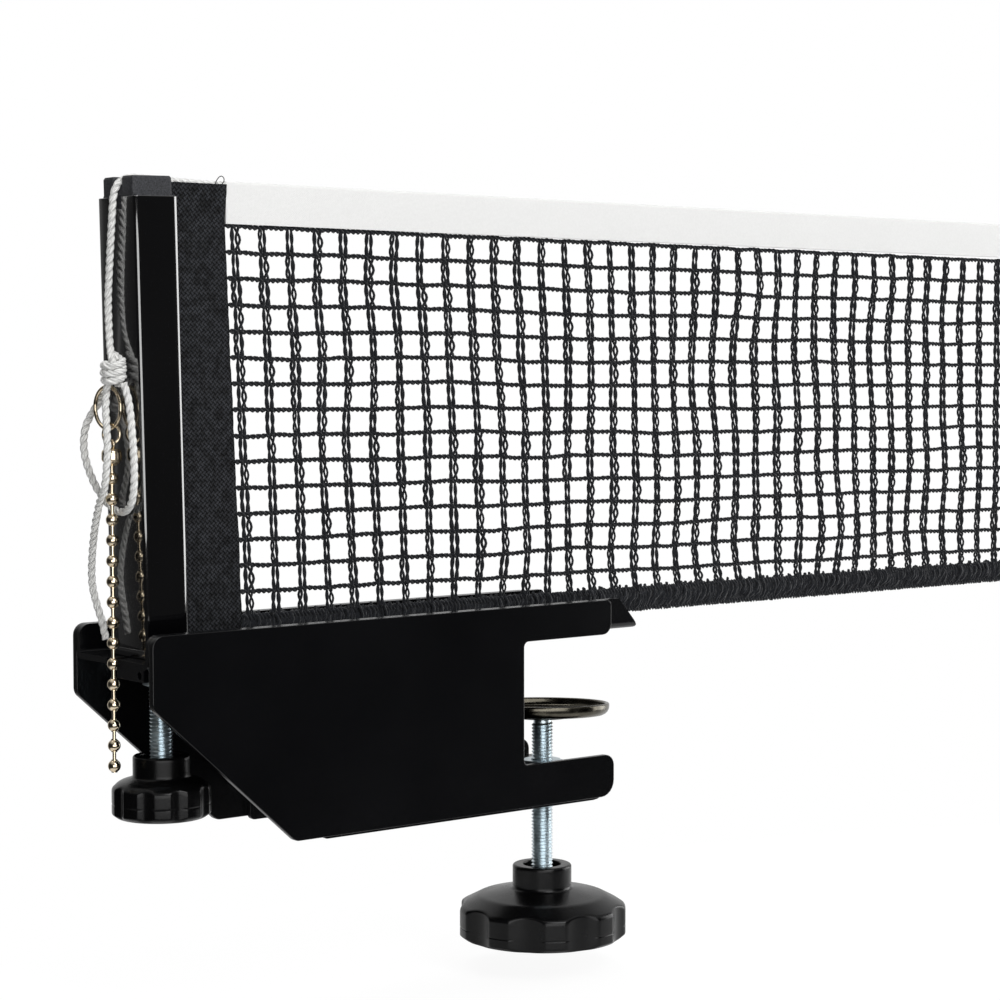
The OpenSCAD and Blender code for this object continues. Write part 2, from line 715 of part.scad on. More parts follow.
module net_band() {
    gap = sleeve_gap / cos(post_lean);
    color(black_cloth) upright(band_t) polygon(
        [[tube_face_x(band_foot_z) + gap, band_foot_z], [band_edge_x(band_foot_z), band_foot_z],
         [band_edge_x(band_head_z), band_head_z], [tube_face_x(band_head_z) + gap, band_head_z]]);
}

// Flat net between the band, the tape, the hem and the end binding
module net_mesh() {
    rows = floor((tape_foot_z - hem_top_z) / row_pitch);
    columns = floor((net_end_x - band_edge_x(hem_top_z)) / column_pitch);
    first_x = band_edge_x(hem_top_z) + column_pitch / 2;
    color(black_cloth) upright(string_t) intersection() {
        polygon([[band_edge_x(hem_top_z), hem_top_z], [net_end_x, hem_top_z],
                 [net_end_x, tape_foot_z], [band_edge_x(tape_foot_z), tape_foot_z]]);
        union() {
            for (i = [0:rows]) translate([outer_x, tape_foot_z - i * row_pitch - string_t])
                square([net_reach - outer_x, string_t]);
            for (i = [0:columns]) translate([first_x + i * column_pitch, hem_top_z - 1])
                square([column_w, tape_foot_z]);
            translate([net_end_x - string_t, hem_top_z]) square([string_t, tape_foot_z]);
        }
    }
}

module net_tape() {
    start_x = band_edge_x(tape_foot_z);
    color(white_cloth) upright(tape_t) polygon(
        [[start_x, tape_foot_z], [net_end_x, tape_foot_z], [net_end_x, net_top], [start_x, net_top]]);
}

module net_hem() {
    start_x = band_edge_x(net_bottom);
    color(black_cloth) upright(hem_t) polygon(
        [[start_x, net_bottom], [net_end_x, net_bottom], [net_end_x, hem_top_z], [start_x, hem_top_z]]);
}

module net_binding() {
    color(black_cloth) upright(hem_t) polygon(
        [[net_end_x, net_bottom], [net_reach, net_bottom], [net_reach, net_top], [net_end_x, net_top]]);
}

// ---- Cord and chain ----

// Places its children at the frame's outer edge
module at_edge() {
    translate([outer_x, 0, 0]) children();
}

module tension_cord() {
    color(white_cloth) at_edge() tube(smooth_path(cord_route, rings_per_span), cord_d, [0, 1, 0]);
}

module cord_tail() {
    color(white_cloth) at_edge() tube(smooth_path(tail_route, 1), cord_d, [1, 0, 0]);
}

module cord_loop() {
    color(white_cloth) at_edge() tube(smooth_path(loop_route, 1), cord_d, [1, 0, 0]);
}

// Turns of the cord pulled tight round themselves
module cord_knot() {
    color(white_cloth) at_edge() translate(knot_at) {
        sphere(r = 1.5 * cord_d, $fn = 24);
        for (turn = [-35, 35]) rotate([turn, 0, 0])
            rotate_extrude($fn = 32) translate([1.3 * cord_d, 0]) circle(d = cord_d, $fn = 16);
    }
}

module cord_ring() {
    color(gold_nickel) at_edge() translate(ring_at) rotate([0, 0, ring_turn]) wire_ring(ring_d, ring_wire_d);
}

module chain_link() {
    color(gold_nickel) translate([chain_x, chain_y, link_z]) rotate([0, 0, ring_turn + 90])
        wire_ring(link_d, link_wire_d);
}

// Rounded shell, closed over the first bead and drawn in under it, with its eye on top
module chain_clasp() {
    r = clasp_d / 2;
    w = clasp_wall;
    neck_r = clasp_mouth_r;
    color(gold_nickel) translate([chain_x, chain_y, 0]) union() {
        rotate_extrude($fn = 48) polygon(rounded(
            [[0, clasp_top_z], [r, clasp_top_z], [r, clasp_foot_z + r - neck_r], [neck_r, clasp_foot_z],
             [neck_r, clasp_foot_z + w], [r - w, clasp_foot_z + r - neck_r], [r - w, clasp_top_z - w],
             [0, clasp_top_z - w]],
            [0, 0.5 * r, 1, 0, 0, 0.6, 0.5 * r - w, 0]));
        translate([0, 0, eye_z]) rotate([0, 0, ring_turn]) wire_ring(eye_d, link_wire_d);
    }
}

// Beads first to last, counted from the top, on their wire
module beads(first, last) {
    color(gold_nickel) translate([chain_x, chain_y, chain_top_z]) union() {
        for (i = [first:last]) translate([0, 0, -i * bead_pitch]) sphere(d = bead_d, $fn = 24);
        translate([0, 0, -last * bead_pitch])
            cylinder(d = bead_wire_d, h = (last - first) * bead_pitch, $fn = 16);
    }
}

module bead_chain() { beads(0, pivot_bead); }

// Beads below the notch, whose first wire swivels in the bead that lies in it
module chain_tail() {
    wire_h = bead_pitch - bead_d / 2 - chain_play;
    color(gold_nickel) union() {
        beads(pivot_bead + 1, bead_count - 1);
        translate([chain_x, chain_y, pivot_z - bead_pitch]) cylinder(d = bead_wire_d, h = wire_h, $fn = 16);
    }
}

side_plate_front();
side_plate_rear();
upper_channel();
lower_channel();
clamp_nut();
clamp_screw();
clamp_knob();
clamp_knob_cover();
pad_disc();
pad_washer();
height_nut();
height_screw();
height_knob();
height_knob_cover();
post_foot();
post_tube();
post_cap();
net_rod();
net_sleeve();
net_band();
net_mesh();
net_tape();
net_hem();
net_binding();
tension_cord();
cord_knot();
cord_tail();
cord_loop();
cord_ring();
chain_link();
chain_clasp();
bead_chain();
chain_tail();
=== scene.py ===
"""Table tennis net clamp: shells, threads, knobs, net, cord, chain and their finishes.

Everything is in the row frame, in metres: +Z up along the clamp screw, +X along the net, +Y across it,
with the origin on the clamp screw's axis in the plane of the table's top.
"""

import json
import math

import bmesh
import bpy
from bpy.props import FloatProperty, FloatVectorProperty, IntProperty, PointerProperty
from mathutils import Matrix, Vector, noise

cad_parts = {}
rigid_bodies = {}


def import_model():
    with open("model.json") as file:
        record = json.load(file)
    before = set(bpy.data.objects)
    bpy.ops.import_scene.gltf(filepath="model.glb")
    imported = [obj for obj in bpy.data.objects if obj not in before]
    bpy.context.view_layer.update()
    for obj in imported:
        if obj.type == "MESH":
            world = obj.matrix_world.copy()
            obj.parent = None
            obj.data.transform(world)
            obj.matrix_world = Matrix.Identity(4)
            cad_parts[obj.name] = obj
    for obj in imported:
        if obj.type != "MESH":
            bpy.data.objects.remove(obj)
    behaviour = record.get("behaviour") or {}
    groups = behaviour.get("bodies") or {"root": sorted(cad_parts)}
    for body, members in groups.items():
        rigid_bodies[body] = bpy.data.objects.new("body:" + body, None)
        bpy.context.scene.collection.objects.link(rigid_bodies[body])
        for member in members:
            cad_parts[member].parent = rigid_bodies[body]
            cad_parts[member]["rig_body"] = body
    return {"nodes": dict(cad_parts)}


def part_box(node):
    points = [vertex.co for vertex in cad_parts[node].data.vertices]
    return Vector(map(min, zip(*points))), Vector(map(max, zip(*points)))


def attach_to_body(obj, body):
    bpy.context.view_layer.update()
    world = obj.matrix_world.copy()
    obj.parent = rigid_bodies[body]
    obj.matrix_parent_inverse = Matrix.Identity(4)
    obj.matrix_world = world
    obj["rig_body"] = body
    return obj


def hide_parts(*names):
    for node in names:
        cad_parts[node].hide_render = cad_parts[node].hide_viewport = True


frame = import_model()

bl_info = {
    "name": "Table tennis net clamp",
    "version": (1, 0, 0),
    "blender": (4, 5, 0),
    "location": "3D View > Sidebar > Net clamp",
    "description": "Builds the looks of a table tennis net clamp over its construction model",
    "category": "Object",
}

MM = 0.001

# Places and sizes taken from the construction model
OUTER_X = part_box("side_plate_front")[0].x
CLAMP_KNOB_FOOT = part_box("clamp_knob_cover")[0].z
CLAMP_KNOB_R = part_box("clamp_knob")[1].x
HEIGHT_KNOB_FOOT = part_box("height_knob_cover")[0].z
HEIGHT_KNOB_R = 16.6 * MM
HEIGHT_X = (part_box("height_nut")[0].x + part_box("height_nut")[1].x) / 2
COVER_H = 4.6 * MM
THREAD_R = 4 * MM
NUT_BORE_R = THREAD_R + 0.05 * MM
NECK_R = 2.6 * MM
NECK_TOP_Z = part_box("clamp_screw")[1].z
SHOULDER_Z = -33.45 * MM
JOURNAL_R = 1.8 * MM
JOURNAL_H = 7 * MM
HEIGHT_SHAFT_TOP_Z = 3.25 * MM
HEAD_H = 5.3 * MM
PAD_PIVOT_Z = -32.25 * MM
PAD_TIP = 3.4
PAD_TIP_WAY = 51.5
POST_FOOT = Vector((-167.5, 0, 6.3)) * MM
POST_LEAN = 1.3
POST_W = 16.2 * MM
POST_D = 24 * MM
POST_CORNER_R = 2 * MM
CAP_W = 14.8 * MM
CAP_D = 19 * MM
CAP_TOP = 153.7 * MM
CAP_EDGE_R = 1.5 * MM
NET_END_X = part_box("net_tape")[1].x

# The cord's strands, in millimetres, with X counted from the frame's outer edge
CORD_ROUTE = [
    (44.2, 0, 158.6), (32, -0.2, 158.8), (20, -0.6, 159.3), (13.5, -1, 159.5),
    (7.4, -1.2, 159.4), (3.5, -1.2, 157.7), (1.7, -1, 153.8), (1.4, -0.2, 146),
    (1.6, 1.6, 134), (1.6, 3, 120), (1.2, 1.8, 109), (0.2, -0.8, 102.6),
]
TAIL_ROUTE = [
    (-1.6, -1.6, 92.6), (-2.6, -2.2, 86), (-3.3, -4, 78), (-3.6, -4.8, 71.5),
    (-3.8, -4.4, 65), (-3.6, -2.6, 59.2), (-2.2, 3.4, 53.4), (-0.8, 9, 45),
    (0.3, 12.9, 35), (1, 14.2, 27), (1.5, 12.6, 20.8), (2, 9.8, 14.8), (2.4, 7.8, 8.6),
]
LOOP_ROUTE = [
    (1, -0.6, 94.6), (2, 3, 93.2), (2.2, 6.6, 89.8), (1.8, 10.2, 86.4), (-0.2, 11.8, 82.4),
    (-2.4, 11.6, 78.2), (-3.4, 11, 73), (-3.3, 10, 68), (-2, 9.2, 63),
    (0, 8.6, 58.4), (2.2, 7, 54.4), (3.6, 4, 51.8), (3.8, -0.4, 51),
    (3, -5.4, 51.8), (2.2, -10, 54.8), (1.9, -12, 60.4), (1.8, -12.3, 68.4),
    (1.6, -11.5, 78), (1.3, -10.2, 87), (0.8, -8, 93),
]
KNOT_AT = (-0.4, -3.6, 97)
RING_AT = (0.2, 1.4, 85)
RING_TURN = 7
LINK_Z = 76.47 * MM
CHAIN_Y = -0.83 * MM
CLASP_TOP_Z = 71.87 * MM
CHAIN_TOP_Z = 68.77 * MM
PIVOT_BEAD = 10

# The net's own edges; a pair of heights holds at its two ends, from the band to the binding
NET_LEFT_TOP_X = -137.7 * MM
NET_LEFT_FOOT_X = -131.6 * MM
NET_FOOT_Z = 6 * MM
NET_RISE = 150 * MM
NET_ROWS = 15
NET_CELL = 8.8 * MM
ROW_TOP = (145.1 * MM, 142.4 * MM)
ROW_FOOT = (22.1 * MM, 17.4 * MM)
HEM_TOP = (14.0 * MM, 12.0 * MM)
HEM_FOOT = (5.2 * MM, 4.2 * MM)
HEM_H = 5.4 * MM
TAPE_SAG = 1.6 * MM
# Reach in millimetres, and layer of the noise, of the net's sway along X, Y and Z
NET_SWAY = ((2.2, 1.5), (3, 4.5), (1.1, 7.5))
# For each kind of cell, how far its two strings wind and open, as shares of a thread's thickness
CELL_KINDS = (((0.75, -0.5), (0.36, 0.15)), ((0.36, -0.2), (0.36, 0.35)), ((0.4, -0.35), (0.6, 0.4)))

# Name, place and size in metres, and power in watts of each lamp
LAMPS = (
    ("key", (-0.15, -1.25, 1.1), (0.8, 0.8), 11),
    ("front", (-0.62, -1.25, 0.12), (1.5, 0.8), 10.5),
    ("edge", (1.05, -0.25, 0.1), (0.7, 0.9), 7),
    ("top", (-0.1, 0.4, 1.3), (0.9, 0.6), 4),
)
LAMP_TARGET = Vector((-0.03, 0, 0.03))
FLOOR_Z = CLAMP_KNOB_FOOT - 11.5 * MM


# ---- Sizes and colours that a user would change ----

def colour(name, value, note):
    return FloatVectorProperty(
        name=name, description=note, default=value, min=0, max=1, size=3, subtype="COLOR")


def length(name, value, note):
    return FloatProperty(
        name=name, description=note, default=value, min=0, unit="LENGTH", subtype="DISTANCE", precision=5)


def number(name, value, low, high, note):
    return IntProperty(name=name, description=note, default=value, min=low, max=high)


class ClampFinish(bpy.types.PropertyGroup):
    """Colours of the clamp's pieces."""
    frame_paint: colour("Frame paint", (0.002, 0.0021, 0.0026), "Powder coat on plates and channels")
    post_paint: colour("Post paint", (0.0015, 0.0015, 0.0019), "Gloss paint on the post")
    knob_plastic: colour("Knob plastic", (0.002, 0.002, 0.0022), "Plastic of both knobs")
    cap_plastic: colour("Cap plastic", (0.036, 0.037, 0.041), "Plastic of the post's cap")
    zinc: colour("Zinc", (0.8, 0.9, 0.95), "Plate on screws and nuts")
    pad_metal: colour("Pad metal", (0.13, 0.12, 0.095), "Plate on the pad")
    chain_metal: colour("Chain metal", (0.8, 0.68, 0.5), "Plate on ring, link and beads")
    band_cloth: colour("Band cloth", (0.0076, 0.0081, 0.0094), "Cloth between post and net")
    net_string: colour("Net string", (0.008, 0.009, 0.0115), "Strings of the net")
    tape_cloth: colour("Tape cloth", (0.93, 0.93, 0.92), "Tape over the net's top")
    cord_yarn: colour("Cord yarn", (0.93, 0.93, 0.91), "Yarn of the cord")


class ClampSizes(bpy.types.PropertyGroup):
    """Sizes of the clamp's small repeating detail."""
    thread_pitch: length("Thread pitch", 1.25 * MM, "Rise of a screw's thread in one turn")
    plate_ease: length("Plate edges", 0.35 * MM, "Rounding of the painted edges")
    cord_d: length("Cord diameter", 2.6 * MM, "Thickness of the cord")
    cord_lay: length("Cord lay", 8.4 * MM, "Length in which a strand turns once round the cord")
    bead_d: length("Bead diameter", 4.2 * MM, "Diameter of the chain's beads")
    bead_pitch: length("Bead spacing", 6.72 * MM, "Distance from bead to bead")
    bead_count: number("Beads", 16, 12, 18, "Number of beads")
    thread_d: length("Net thread", 0.86 * MM, "Thickness of one thread of a net string")
    column_pitch: length("Net columns", 11.1 * MM, "Spacing of the net's paired columns")
    grips: number("Grips", 9, 6, 12, "Number of grips round a knob")


def sizes():
    return bpy.context.scene.clamp_sizes


# ---- Shapes as (vertices, faces) ----

def mm(points):
    """Points given in millimetres, in metres."""
    return [tuple(value * MM for value in point) for point in points]


def circle(count):
    """Cosine and sine of evenly spaced angles round a circle."""
    return [(math.cos(math.tau * k / count), math.sin(math.tau * k / count)) for k in range(count)]


def arc_corner(a, b, c, r):
    """Points of the arc with radius r that replaces the corner b of the path a, b, c."""
    if r <= 0:
        return [b]
    steps = 5
    a, b, c = Vector(a), Vector(b), Vector(c)
    u, w = (a - b).normalized(), (c - b).normalized()
    half = u.angle(w) / 2
    centre = b + (u + w).normalized() * r / math.sin(half)
    p, q = b + u * r / math.tan(half) - centre, b + w * r / math.tan(half) - centre
    turn = p.angle_signed(q)
    return [tuple(centre + Matrix.Rotation(-turn * i / steps, 2) @ p) for i in range(steps + 1)]


def rounded(points, radii):
    """The outline with its corners rounded; a radius of 0 keeps a corner."""
    path = []
    for i, point in enumerate(points):
        path += arc_corner(points[i - 1], point, points[(i + 1) % len(points)], radii[i])
    return path


def turned(profile, steps, closed=False, limit=None):
    """Solid turned about Z from (radius, height) points; limit(angle, radius) may draw a radius in."""
    vertices, rings, faces = [], [], []
    for r, z in profile:
        if r < 1e-9:
            rings.append([len(vertices)] * steps)
            vertices.append((0, 0, z))
            continue
        rings.append(list(range(len(vertices), len(vertices) + steps)))
        for k, (cosine, sine) in enumerate(circle(steps)):
            reach = limit(math.tau * k / steps, r) if limit else r
            vertices.append((reach * cosine, reach * sine, z))
    for low, high in zip(rings, rings[1:] + rings[:1] if closed else rings[1:]):
        for k in range(steps):
            corners = [low[k], low[(k + 1) % steps], high[(k + 1) % steps], high[k]]
            face = [v for i, v in enumerate(corners) if v not in corners[:i]]
            if len(face) > 2:
                faces.append(face)
    return vertices, faces


def wire_loop(d, wire, sides, steps):
    """Ring of round wire about Z, with its outer diameter d."""
    r = wire / 2
    return turned([(d / 2 - r + r * x, r * z) for x, z in circle(sides)], steps, closed=True)


def moved(shape, matrix):
    return [tuple(matrix @ Vector(v)) for v in shape[0]], shape[1]


def at(x, y, z):
    return Matrix.Translation((x, y, z))


def together(*shapes):
    vertices, faces = [], []
    for shape in shapes:
        faces += [[i + len(vertices) for i in face] for face in shape[1]]
        vertices += shape[0]
    return vertices, faces


def swept(sections):
    """Closed solid through equal loops of points, one loop per station."""
    count = len(sections[0])
    vertices = [tuple(p) for section in sections for p in section]
    faces = []
    for i in range(len(sections) - 1):
        for k in range(count):
            a, b = i * count + k, i * count + (k + 1) % count
            faces.append([a, b, b + count, a + count])
    faces.append(list(range(count))[::-1])
    faces.append([(len(sections) - 1) * count + k for k in range(count)])
    return vertices, faces


def cloth_slab(place, columns, rows, thickness, ripple, forward):
    """Thin closed slab over place(u, v) -> (x, z), rippled across Y and brought forward by forward(v)."""
    front, back, faces = [], [], []
    thin_edge = 0.4
    for j in range(rows + 1):
        for i in range(columns + 1):
            x, z = place(i / columns, j / rows)
            near = min(i, columns - i, 2) / 2 * min(j, rows - j, 2) / 2
            half = thickness / 2 * (thin_edge + (1 - thin_edge) * math.sqrt(near))
            y = ripple * noise.noise((x * 90, 0.3, z * 60)) - forward(j / rows)
            front.append((x, y - half, z))
            back.append((x, y + half, z))
    width = columns + 1
    offset = len(front)
    for j in range(rows):
        for i in range(columns):
            a = j * width + i
            faces.append([a, a + 1, a + 1 + width, a + width])
            faces.append([offset + v for v in (a + width, a + 1 + width, a + 1, a)])
    rim = list(range(width)) + [j * width + columns for j in range(1, rows + 1)]
    rim += [rows * width + i for i in range(columns - 1, -1, -1)]
    rim += [j * width for j in range(rows - 1, 0, -1)]
    for a, b in zip(rim, rim[1:] + rim[:1]):
        faces.append([b, a, a + offset, b + offset])
    return front + back, faces


def fold_section(depth, half, wall, inner_steps):
    """Outline of a cloth folded over an edge: (across, along) points, with along 0 at the fold."""
    inner = half - wall

    def arc(r, steps):
        return [(r * math.cos(a), abs(r) * math.sin(a) - half)
                for a in [math.pi * k / steps for k in range(1, steps)]]

    return [(half, -depth), (half, -half), *arc(half, 8), (-half, -half), (-half, -depth),
            (-inner, -depth), (-inner, -half), *arc(-inner, inner_steps), (inner, -half), (inner, -depth)]


def post_place():
    """From the post's own frame, with its origin in the middle of the tube's foot, to the row frame."""
    return at(*POST_FOOT) @ Matrix.Rotation(math.radians(-POST_LEAN), 4, "Y")


# ---- Cord paths ----

def smooth_path(points, steps):
    """Catmull-Rom path through points, steps to each span."""
    last = len(points) - 1
    path = []
    for i in range(last):
        a, b = points[max(i - 1, 0)], points[i]
        c, d = points[i + 1], points[min(i + 2, last)]
        for k in range(steps):
            t = k / steps
            path.append(0.5 * (2 * b + (c - a) * t + (2 * a - 5 * b + 4 * c - d) * t * t
                               + (3 * b - a - 3 * c + d) * t * t * t))
    return path + [points[last]]


def from_edge(route):
    return [Vector((OUTER_X + x * MM, y * MM, z * MM)) for x, y, z in route]


def path_length(path):
    return sum((b - a).length for a, b in zip(path, path[1:]))


def evenly(path, gap):
    """The path with its points a constant distance apart."""
    total = path_length(path)
    count = max(2, round(total / gap))
    out, walked, i = [path[0]], 0.0, 0
    for k in range(1, count):
        goal = total * k / count
        while walked + (path[i + 1] - path[i]).length < goal:
            walked += (path[i + 1] - path[i]).length
            i += 1
        span = path[i + 1] - path[i]
        out.append(path[i] + span * ((goal - walked) / span.length))
    return out + [path[-1]]


def carried_frames(path):
    """Unit vectors across the path, turned as little as possible from point to point."""
    frames = []
    across = None
    for i in range(len(path)):
        along = (path[min(i + 1, len(path) - 1)] - path[max(i - 1, 0)]).normalized()
        if across is None:
            across = along.cross(Vector((0.3, 1, 0.2))).normalized()
        across = (across - along * across.dot(along)).normalized()
        frames.append((across, along.cross(across)))
    return frames


def laid_cord(path):
    """Three strands laid round the path; returns the shape and a (length, turn) pair per vertex."""
    diameter, lay = sizes().cord_d, sizes().cord_lay
    strands, sides, strand_share, plump = 3, 10, 0.252, 1.12
    strand_r = diameter * strand_share
    offset_r = diameter / 2 - strand_r
    shapes, coordinates = [], []
    frames = carried_frames(path)
    for strand in range(strands):
        sections, walked = [], 0.0
        for i, point in enumerate(path):
            walked += (point - path[i - 1]).length if i else 0
            across, up = frames[i]
            phase = math.tau * (walked / lay + strand / strands)
            out = across * math.cos(phase) + up * math.sin(phase)
            centre = point + out * offset_r
            aside = -across * math.sin(phase) + up * math.cos(phase)
            sections.append([centre + (out * x + aside * y * plump) * strand_r for x, y in circle(sides)])
            coordinates += [(walked, k / sides) for k in range(sides)]
        shapes.append(swept(sections))
    return together(*shapes), coordinates


# ---- Objects ----

def changed(mesh, change):
    """Lets change(bmesh) edit the mesh."""
    work = bmesh.new()
    work.from_mesh(mesh)
    change(work)
    work.to_mesh(mesh)
    work.free()


def recalculate(work):
    bmesh.ops.recalc_face_normals(work, faces=work.faces)


def linked(name, data):
    piece = bpy.data.objects.new(name, data)
    bpy.context.scene.collection.objects.link(piece)
    return piece


def evaluated_mesh(holder):
    """The holder's mesh with its modifiers applied; the holder itself is removed."""
    evaluated = holder.evaluated_get(bpy.context.evaluated_depsgraph_get())
    mesh = bpy.data.meshes.new_from_object(evaluated)
    bpy.data.objects.remove(holder)
    return mesh


def attach(mesh, name, node, slot, sharp, replaces=True):
    """Makes an object of the mesh, with its finish, on the CAD node's body and in the node's place.

    Edges over the angle sharp stay hard, 0 smooths them all and None leaves the shading alone.
    """
    mesh.name = name
    if sharp is not None:
        mesh.shade_smooth()
    if sharp:
        mesh.set_sharp_from_angle(angle=math.radians(sharp))
    piece = linked(name, mesh)
    mesh.materials.clear()
    mesh.materials.append(look_of(slot))
    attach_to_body(piece, frame["nodes"][node]["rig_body"])
    if replaces:
        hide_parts(node)
    return piece


def piece_of(shape, name, node, slot, sharp, coordinates=None):
    mesh = bpy.data.meshes.new(name)
    mesh.from_pydata(shape[0], [], shape[1])
    changed(mesh, recalculate)
    if coordinates:
        layer = mesh.uv_layers.new(name="along")
        for loop in mesh.loops:
            layer.data[loop.index].uv = coordinates[loop.vertex_index]
    return attach(mesh, name, node, slot, sharp)


def merge(work):
    bmesh.ops.remove_doubles(work, verts=work.verts, dist=2e-6)
    bmesh.ops.dissolve_limit(work, angle_limit=math.radians(0.6), verts=work.verts, edges=work.edges)


def eased(node, name, slot, radius, moulded=None):
    """The CAD node as a shell whose hard edges are rounded, after moulded(mesh) has shaped it."""
    mesh = frame["nodes"][node].data.copy()
    changed(mesh, merge)
    mesh.shade_smooth()
    if moulded:
        moulded(mesh)
    holder = linked(name + "_work", mesh)
    bevel = holder.modifiers.new("ease", "BEVEL")
    bevel.width = radius
    bevel.segments = 3
    bevel.limit_method = "ANGLE"
    bevel.angle_limit = math.radians(32)
    bevel.use_clamp_overlap = True
    if not moulded:
        level = holder.modifiers.new("level", "WEIGHTED_NORMAL")
        level.weight = 100
        level.keep_sharp = True
    return attach(evaluated_mesh(holder), name, node, slot, 34 if moulded else None)


# ---- Node graphs ----

class Graph:
    """Adds nodes to a tree; a socket given as an input is linked, anything else is set."""

    def __init__(self, tree):
        self.tree = tree

    def add(self, kind, inputs=None, **properties):
        node = self.tree.nodes.new(kind)
        for name, value in properties.items():
            setattr(node, name, value)
        for key, value in (inputs or {}).items():
            socket = node.inputs[key]
            for one in value if isinstance(value, list) else [value]:
                if isinstance(one, bpy.types.NodeSocket):
                    self.tree.links.new(one, socket)
                else:
                    socket.default_value = one
        return node

    def out(self, kind, inputs=None, **properties):
        """The first output of a new node."""
        return self.add(kind, inputs, **properties).outputs[0]

    def math(self, operation, a, b=0.0):
        return self.out("ShaderNodeMath", {0: a, 1: b}, operation=operation)

    def times(self, a, b):
        return self.math("MULTIPLY", a, b)

    def plus(self, a, b):
        return self.math("ADD", a, b)

    def vector(self, **parts):
        return self.out("ShaderNodeCombineXYZ", parts)

    def ridges(self, value):
        """Round ridges, one to each whole step of the value."""
        return self.math("ABSOLUTE", self.math("SINE", self.times(value, math.pi)))

    def spread(self, value, start, end, low, high):
        """Takes the range from start to end onto the one from low to high."""
        return self.out("ShaderNodeMapRange", {0: value, 1: start, 2: end, 3: low, 4: high})

    def ramp(self, value, *stops):
        node = self.add("ShaderNodeValToRGB", {0: value})
        ramp = node.color_ramp
        while len(ramp.elements) < len(stops):
            ramp.elements.new(0.5)
        for element, (place, shade) in zip(ramp.elements, stops):
            element.position = place
            element.color = (*shade, 1)
        return node.outputs[0]


class ShapeTree(Graph):
    """Geometry Nodes tree with named inputs, which ends in Realize Instances and Set Material."""

    def __init__(self, name, values):
        super().__init__(bpy.data.node_groups.new(name, "GeometryNodeTree"))
        face = self.tree.interface
        face.new_socket("Geometry", in_out="OUTPUT", socket_type="NodeSocketGeometry")
        for label, value in values.items():
            kind = "NodeSocketInt" if isinstance(value, int) else "NodeSocketFloat"
            face.new_socket(label, in_out="INPUT", socket_type=kind).default_value = value
        face.new_socket("Material", in_out="INPUT", socket_type="NodeSocketMaterial")
        self.given = self.add("NodeGroupInput").outputs

    def shape(self, kind, inputs=None):
        """The first output of a new geometry node."""
        return self.out("GeometryNode" + kind, inputs)

    def part_of(self, label, share):
        """A share of the tree's input of that name."""
        return self.times(self.given[label], share)

    def ratio(self, over, under):
        return self.math("DIVIDE", self.given[over], self.given[under])

    def joined(self, parts):
        return self.shape("JoinGeometry", {0: list(parts)})

    def shifted(self, geometry, **parts):
        return self.shape("Transform", {"Geometry": geometry, "Translation": self.vector(**parts)})

    def rotated(self, geometry, *angles):
        return self.shape("Transform", {"Geometry": geometry, "Rotation": angles})

    def row_of(self, count, step, start=(0, 0, 0)):
        """Points a step apart."""
        return self.shape("MeshLine", {"Count": count, "Start Location": start, "Offset": step})

    def copies(self, points, instance, inputs=None):
        return self.shape("InstanceOnPoints", {"Points": points, "Instance": instance, **(inputs or {})})

    def random(self, low, high):
        """A vector between low and high for each point, drawn with the tree's Seed."""
        return self.out("FunctionNodeRandomValue", {0: low, 1: high, "Seed": self.given["Seed"]},
                        data_type="FLOAT_VECTOR")

    def end(self, *geometry):
        real = self.shape("RealizeInstances", {0: self.joined(geometry)})
        painted = self.shape("SetMaterial", {"Geometry": real, "Material": self.given["Material"]})
        self.add("NodeGroupOutput", {0: painted})
        return self.tree

    def tube(self, curve, radius, sides):
        ring = self.shape("CurvePrimitiveCircle", {"Resolution": sides, "Radius": radius})
        return self.shape("CurveToMesh", {"Curve": curve, "Profile Curve": ring, "Fill Caps": True})

    def wound(self, length, points, turns, start, radius, aside=None):
        """Line along X of the given length, wound round its own axis and drawn aside in its middle."""
        line = self.shape("CurvePrimitiveLine", {"End": self.vector(X=length)})
        fine = self.shape("ResampleCurve", {"Curve": line, "Count": points})
        share = self.add("GeometryNodeSplineParameter").outputs["Factor"]
        angle = self.plus(self.times(self.times(share, turns), math.tau), start)
        across = self.times(self.math("COSINE", angle), radius)
        if aside is not None:
            across = self.plus(across, self.times(self.math("SINE", self.times(share, math.pi)), aside))
        offset = self.vector(Y=across, Z=self.times(self.math("SINE", angle), radius))
        return self.shape("SetPosition", {"Geometry": fine, "Offset": offset})

    def level_threads(self, points, radius):
        """The two threads of a string that runs along the whole width."""
        turns = self.ratio("Width", "Lay")
        around = self.part_of("Thread", radius)
        return [self.tube(self.wound(self.given["Width"], points, turns, start, around),
                          self.part_of("Thread", 0.55), 4) for start in (0.0, math.pi)]


def grown(maker, name, node, slot, values, place=None, warp=None, sharp=0, replaces=True):
    """Plain mesh piece from the tree that maker(values) builds, its inputs set by their identifiers."""
    tree = maker(values)
    holder = linked(name + "_work", bpy.data.meshes.new(name))
    modifier = holder.modifiers.new("shape", "NODES")
    modifier.node_group = tree
    values = {"Material": look_of(slot), **values}
    for item in tree.interface.items_tree:
        if item.item_type == "SOCKET" and item.in_out == "INPUT":
            modifier[item.identifier] = values[item.name]
    mesh = evaluated_mesh(holder)
    if not len(mesh.polygons):
        raise RuntimeError(f"{name}: its nodes made no faces")
    if place:
        mesh.transform(place)
    if warp:
        for vertex in mesh.vertices:
            vertex.co = warp(vertex.co)
    changed(mesh, recalculate)
    return attach(mesh, name, node, slot, sharp, replaces)


# ---- Finishes ----

GROUPS = {}
LOOKS = {}


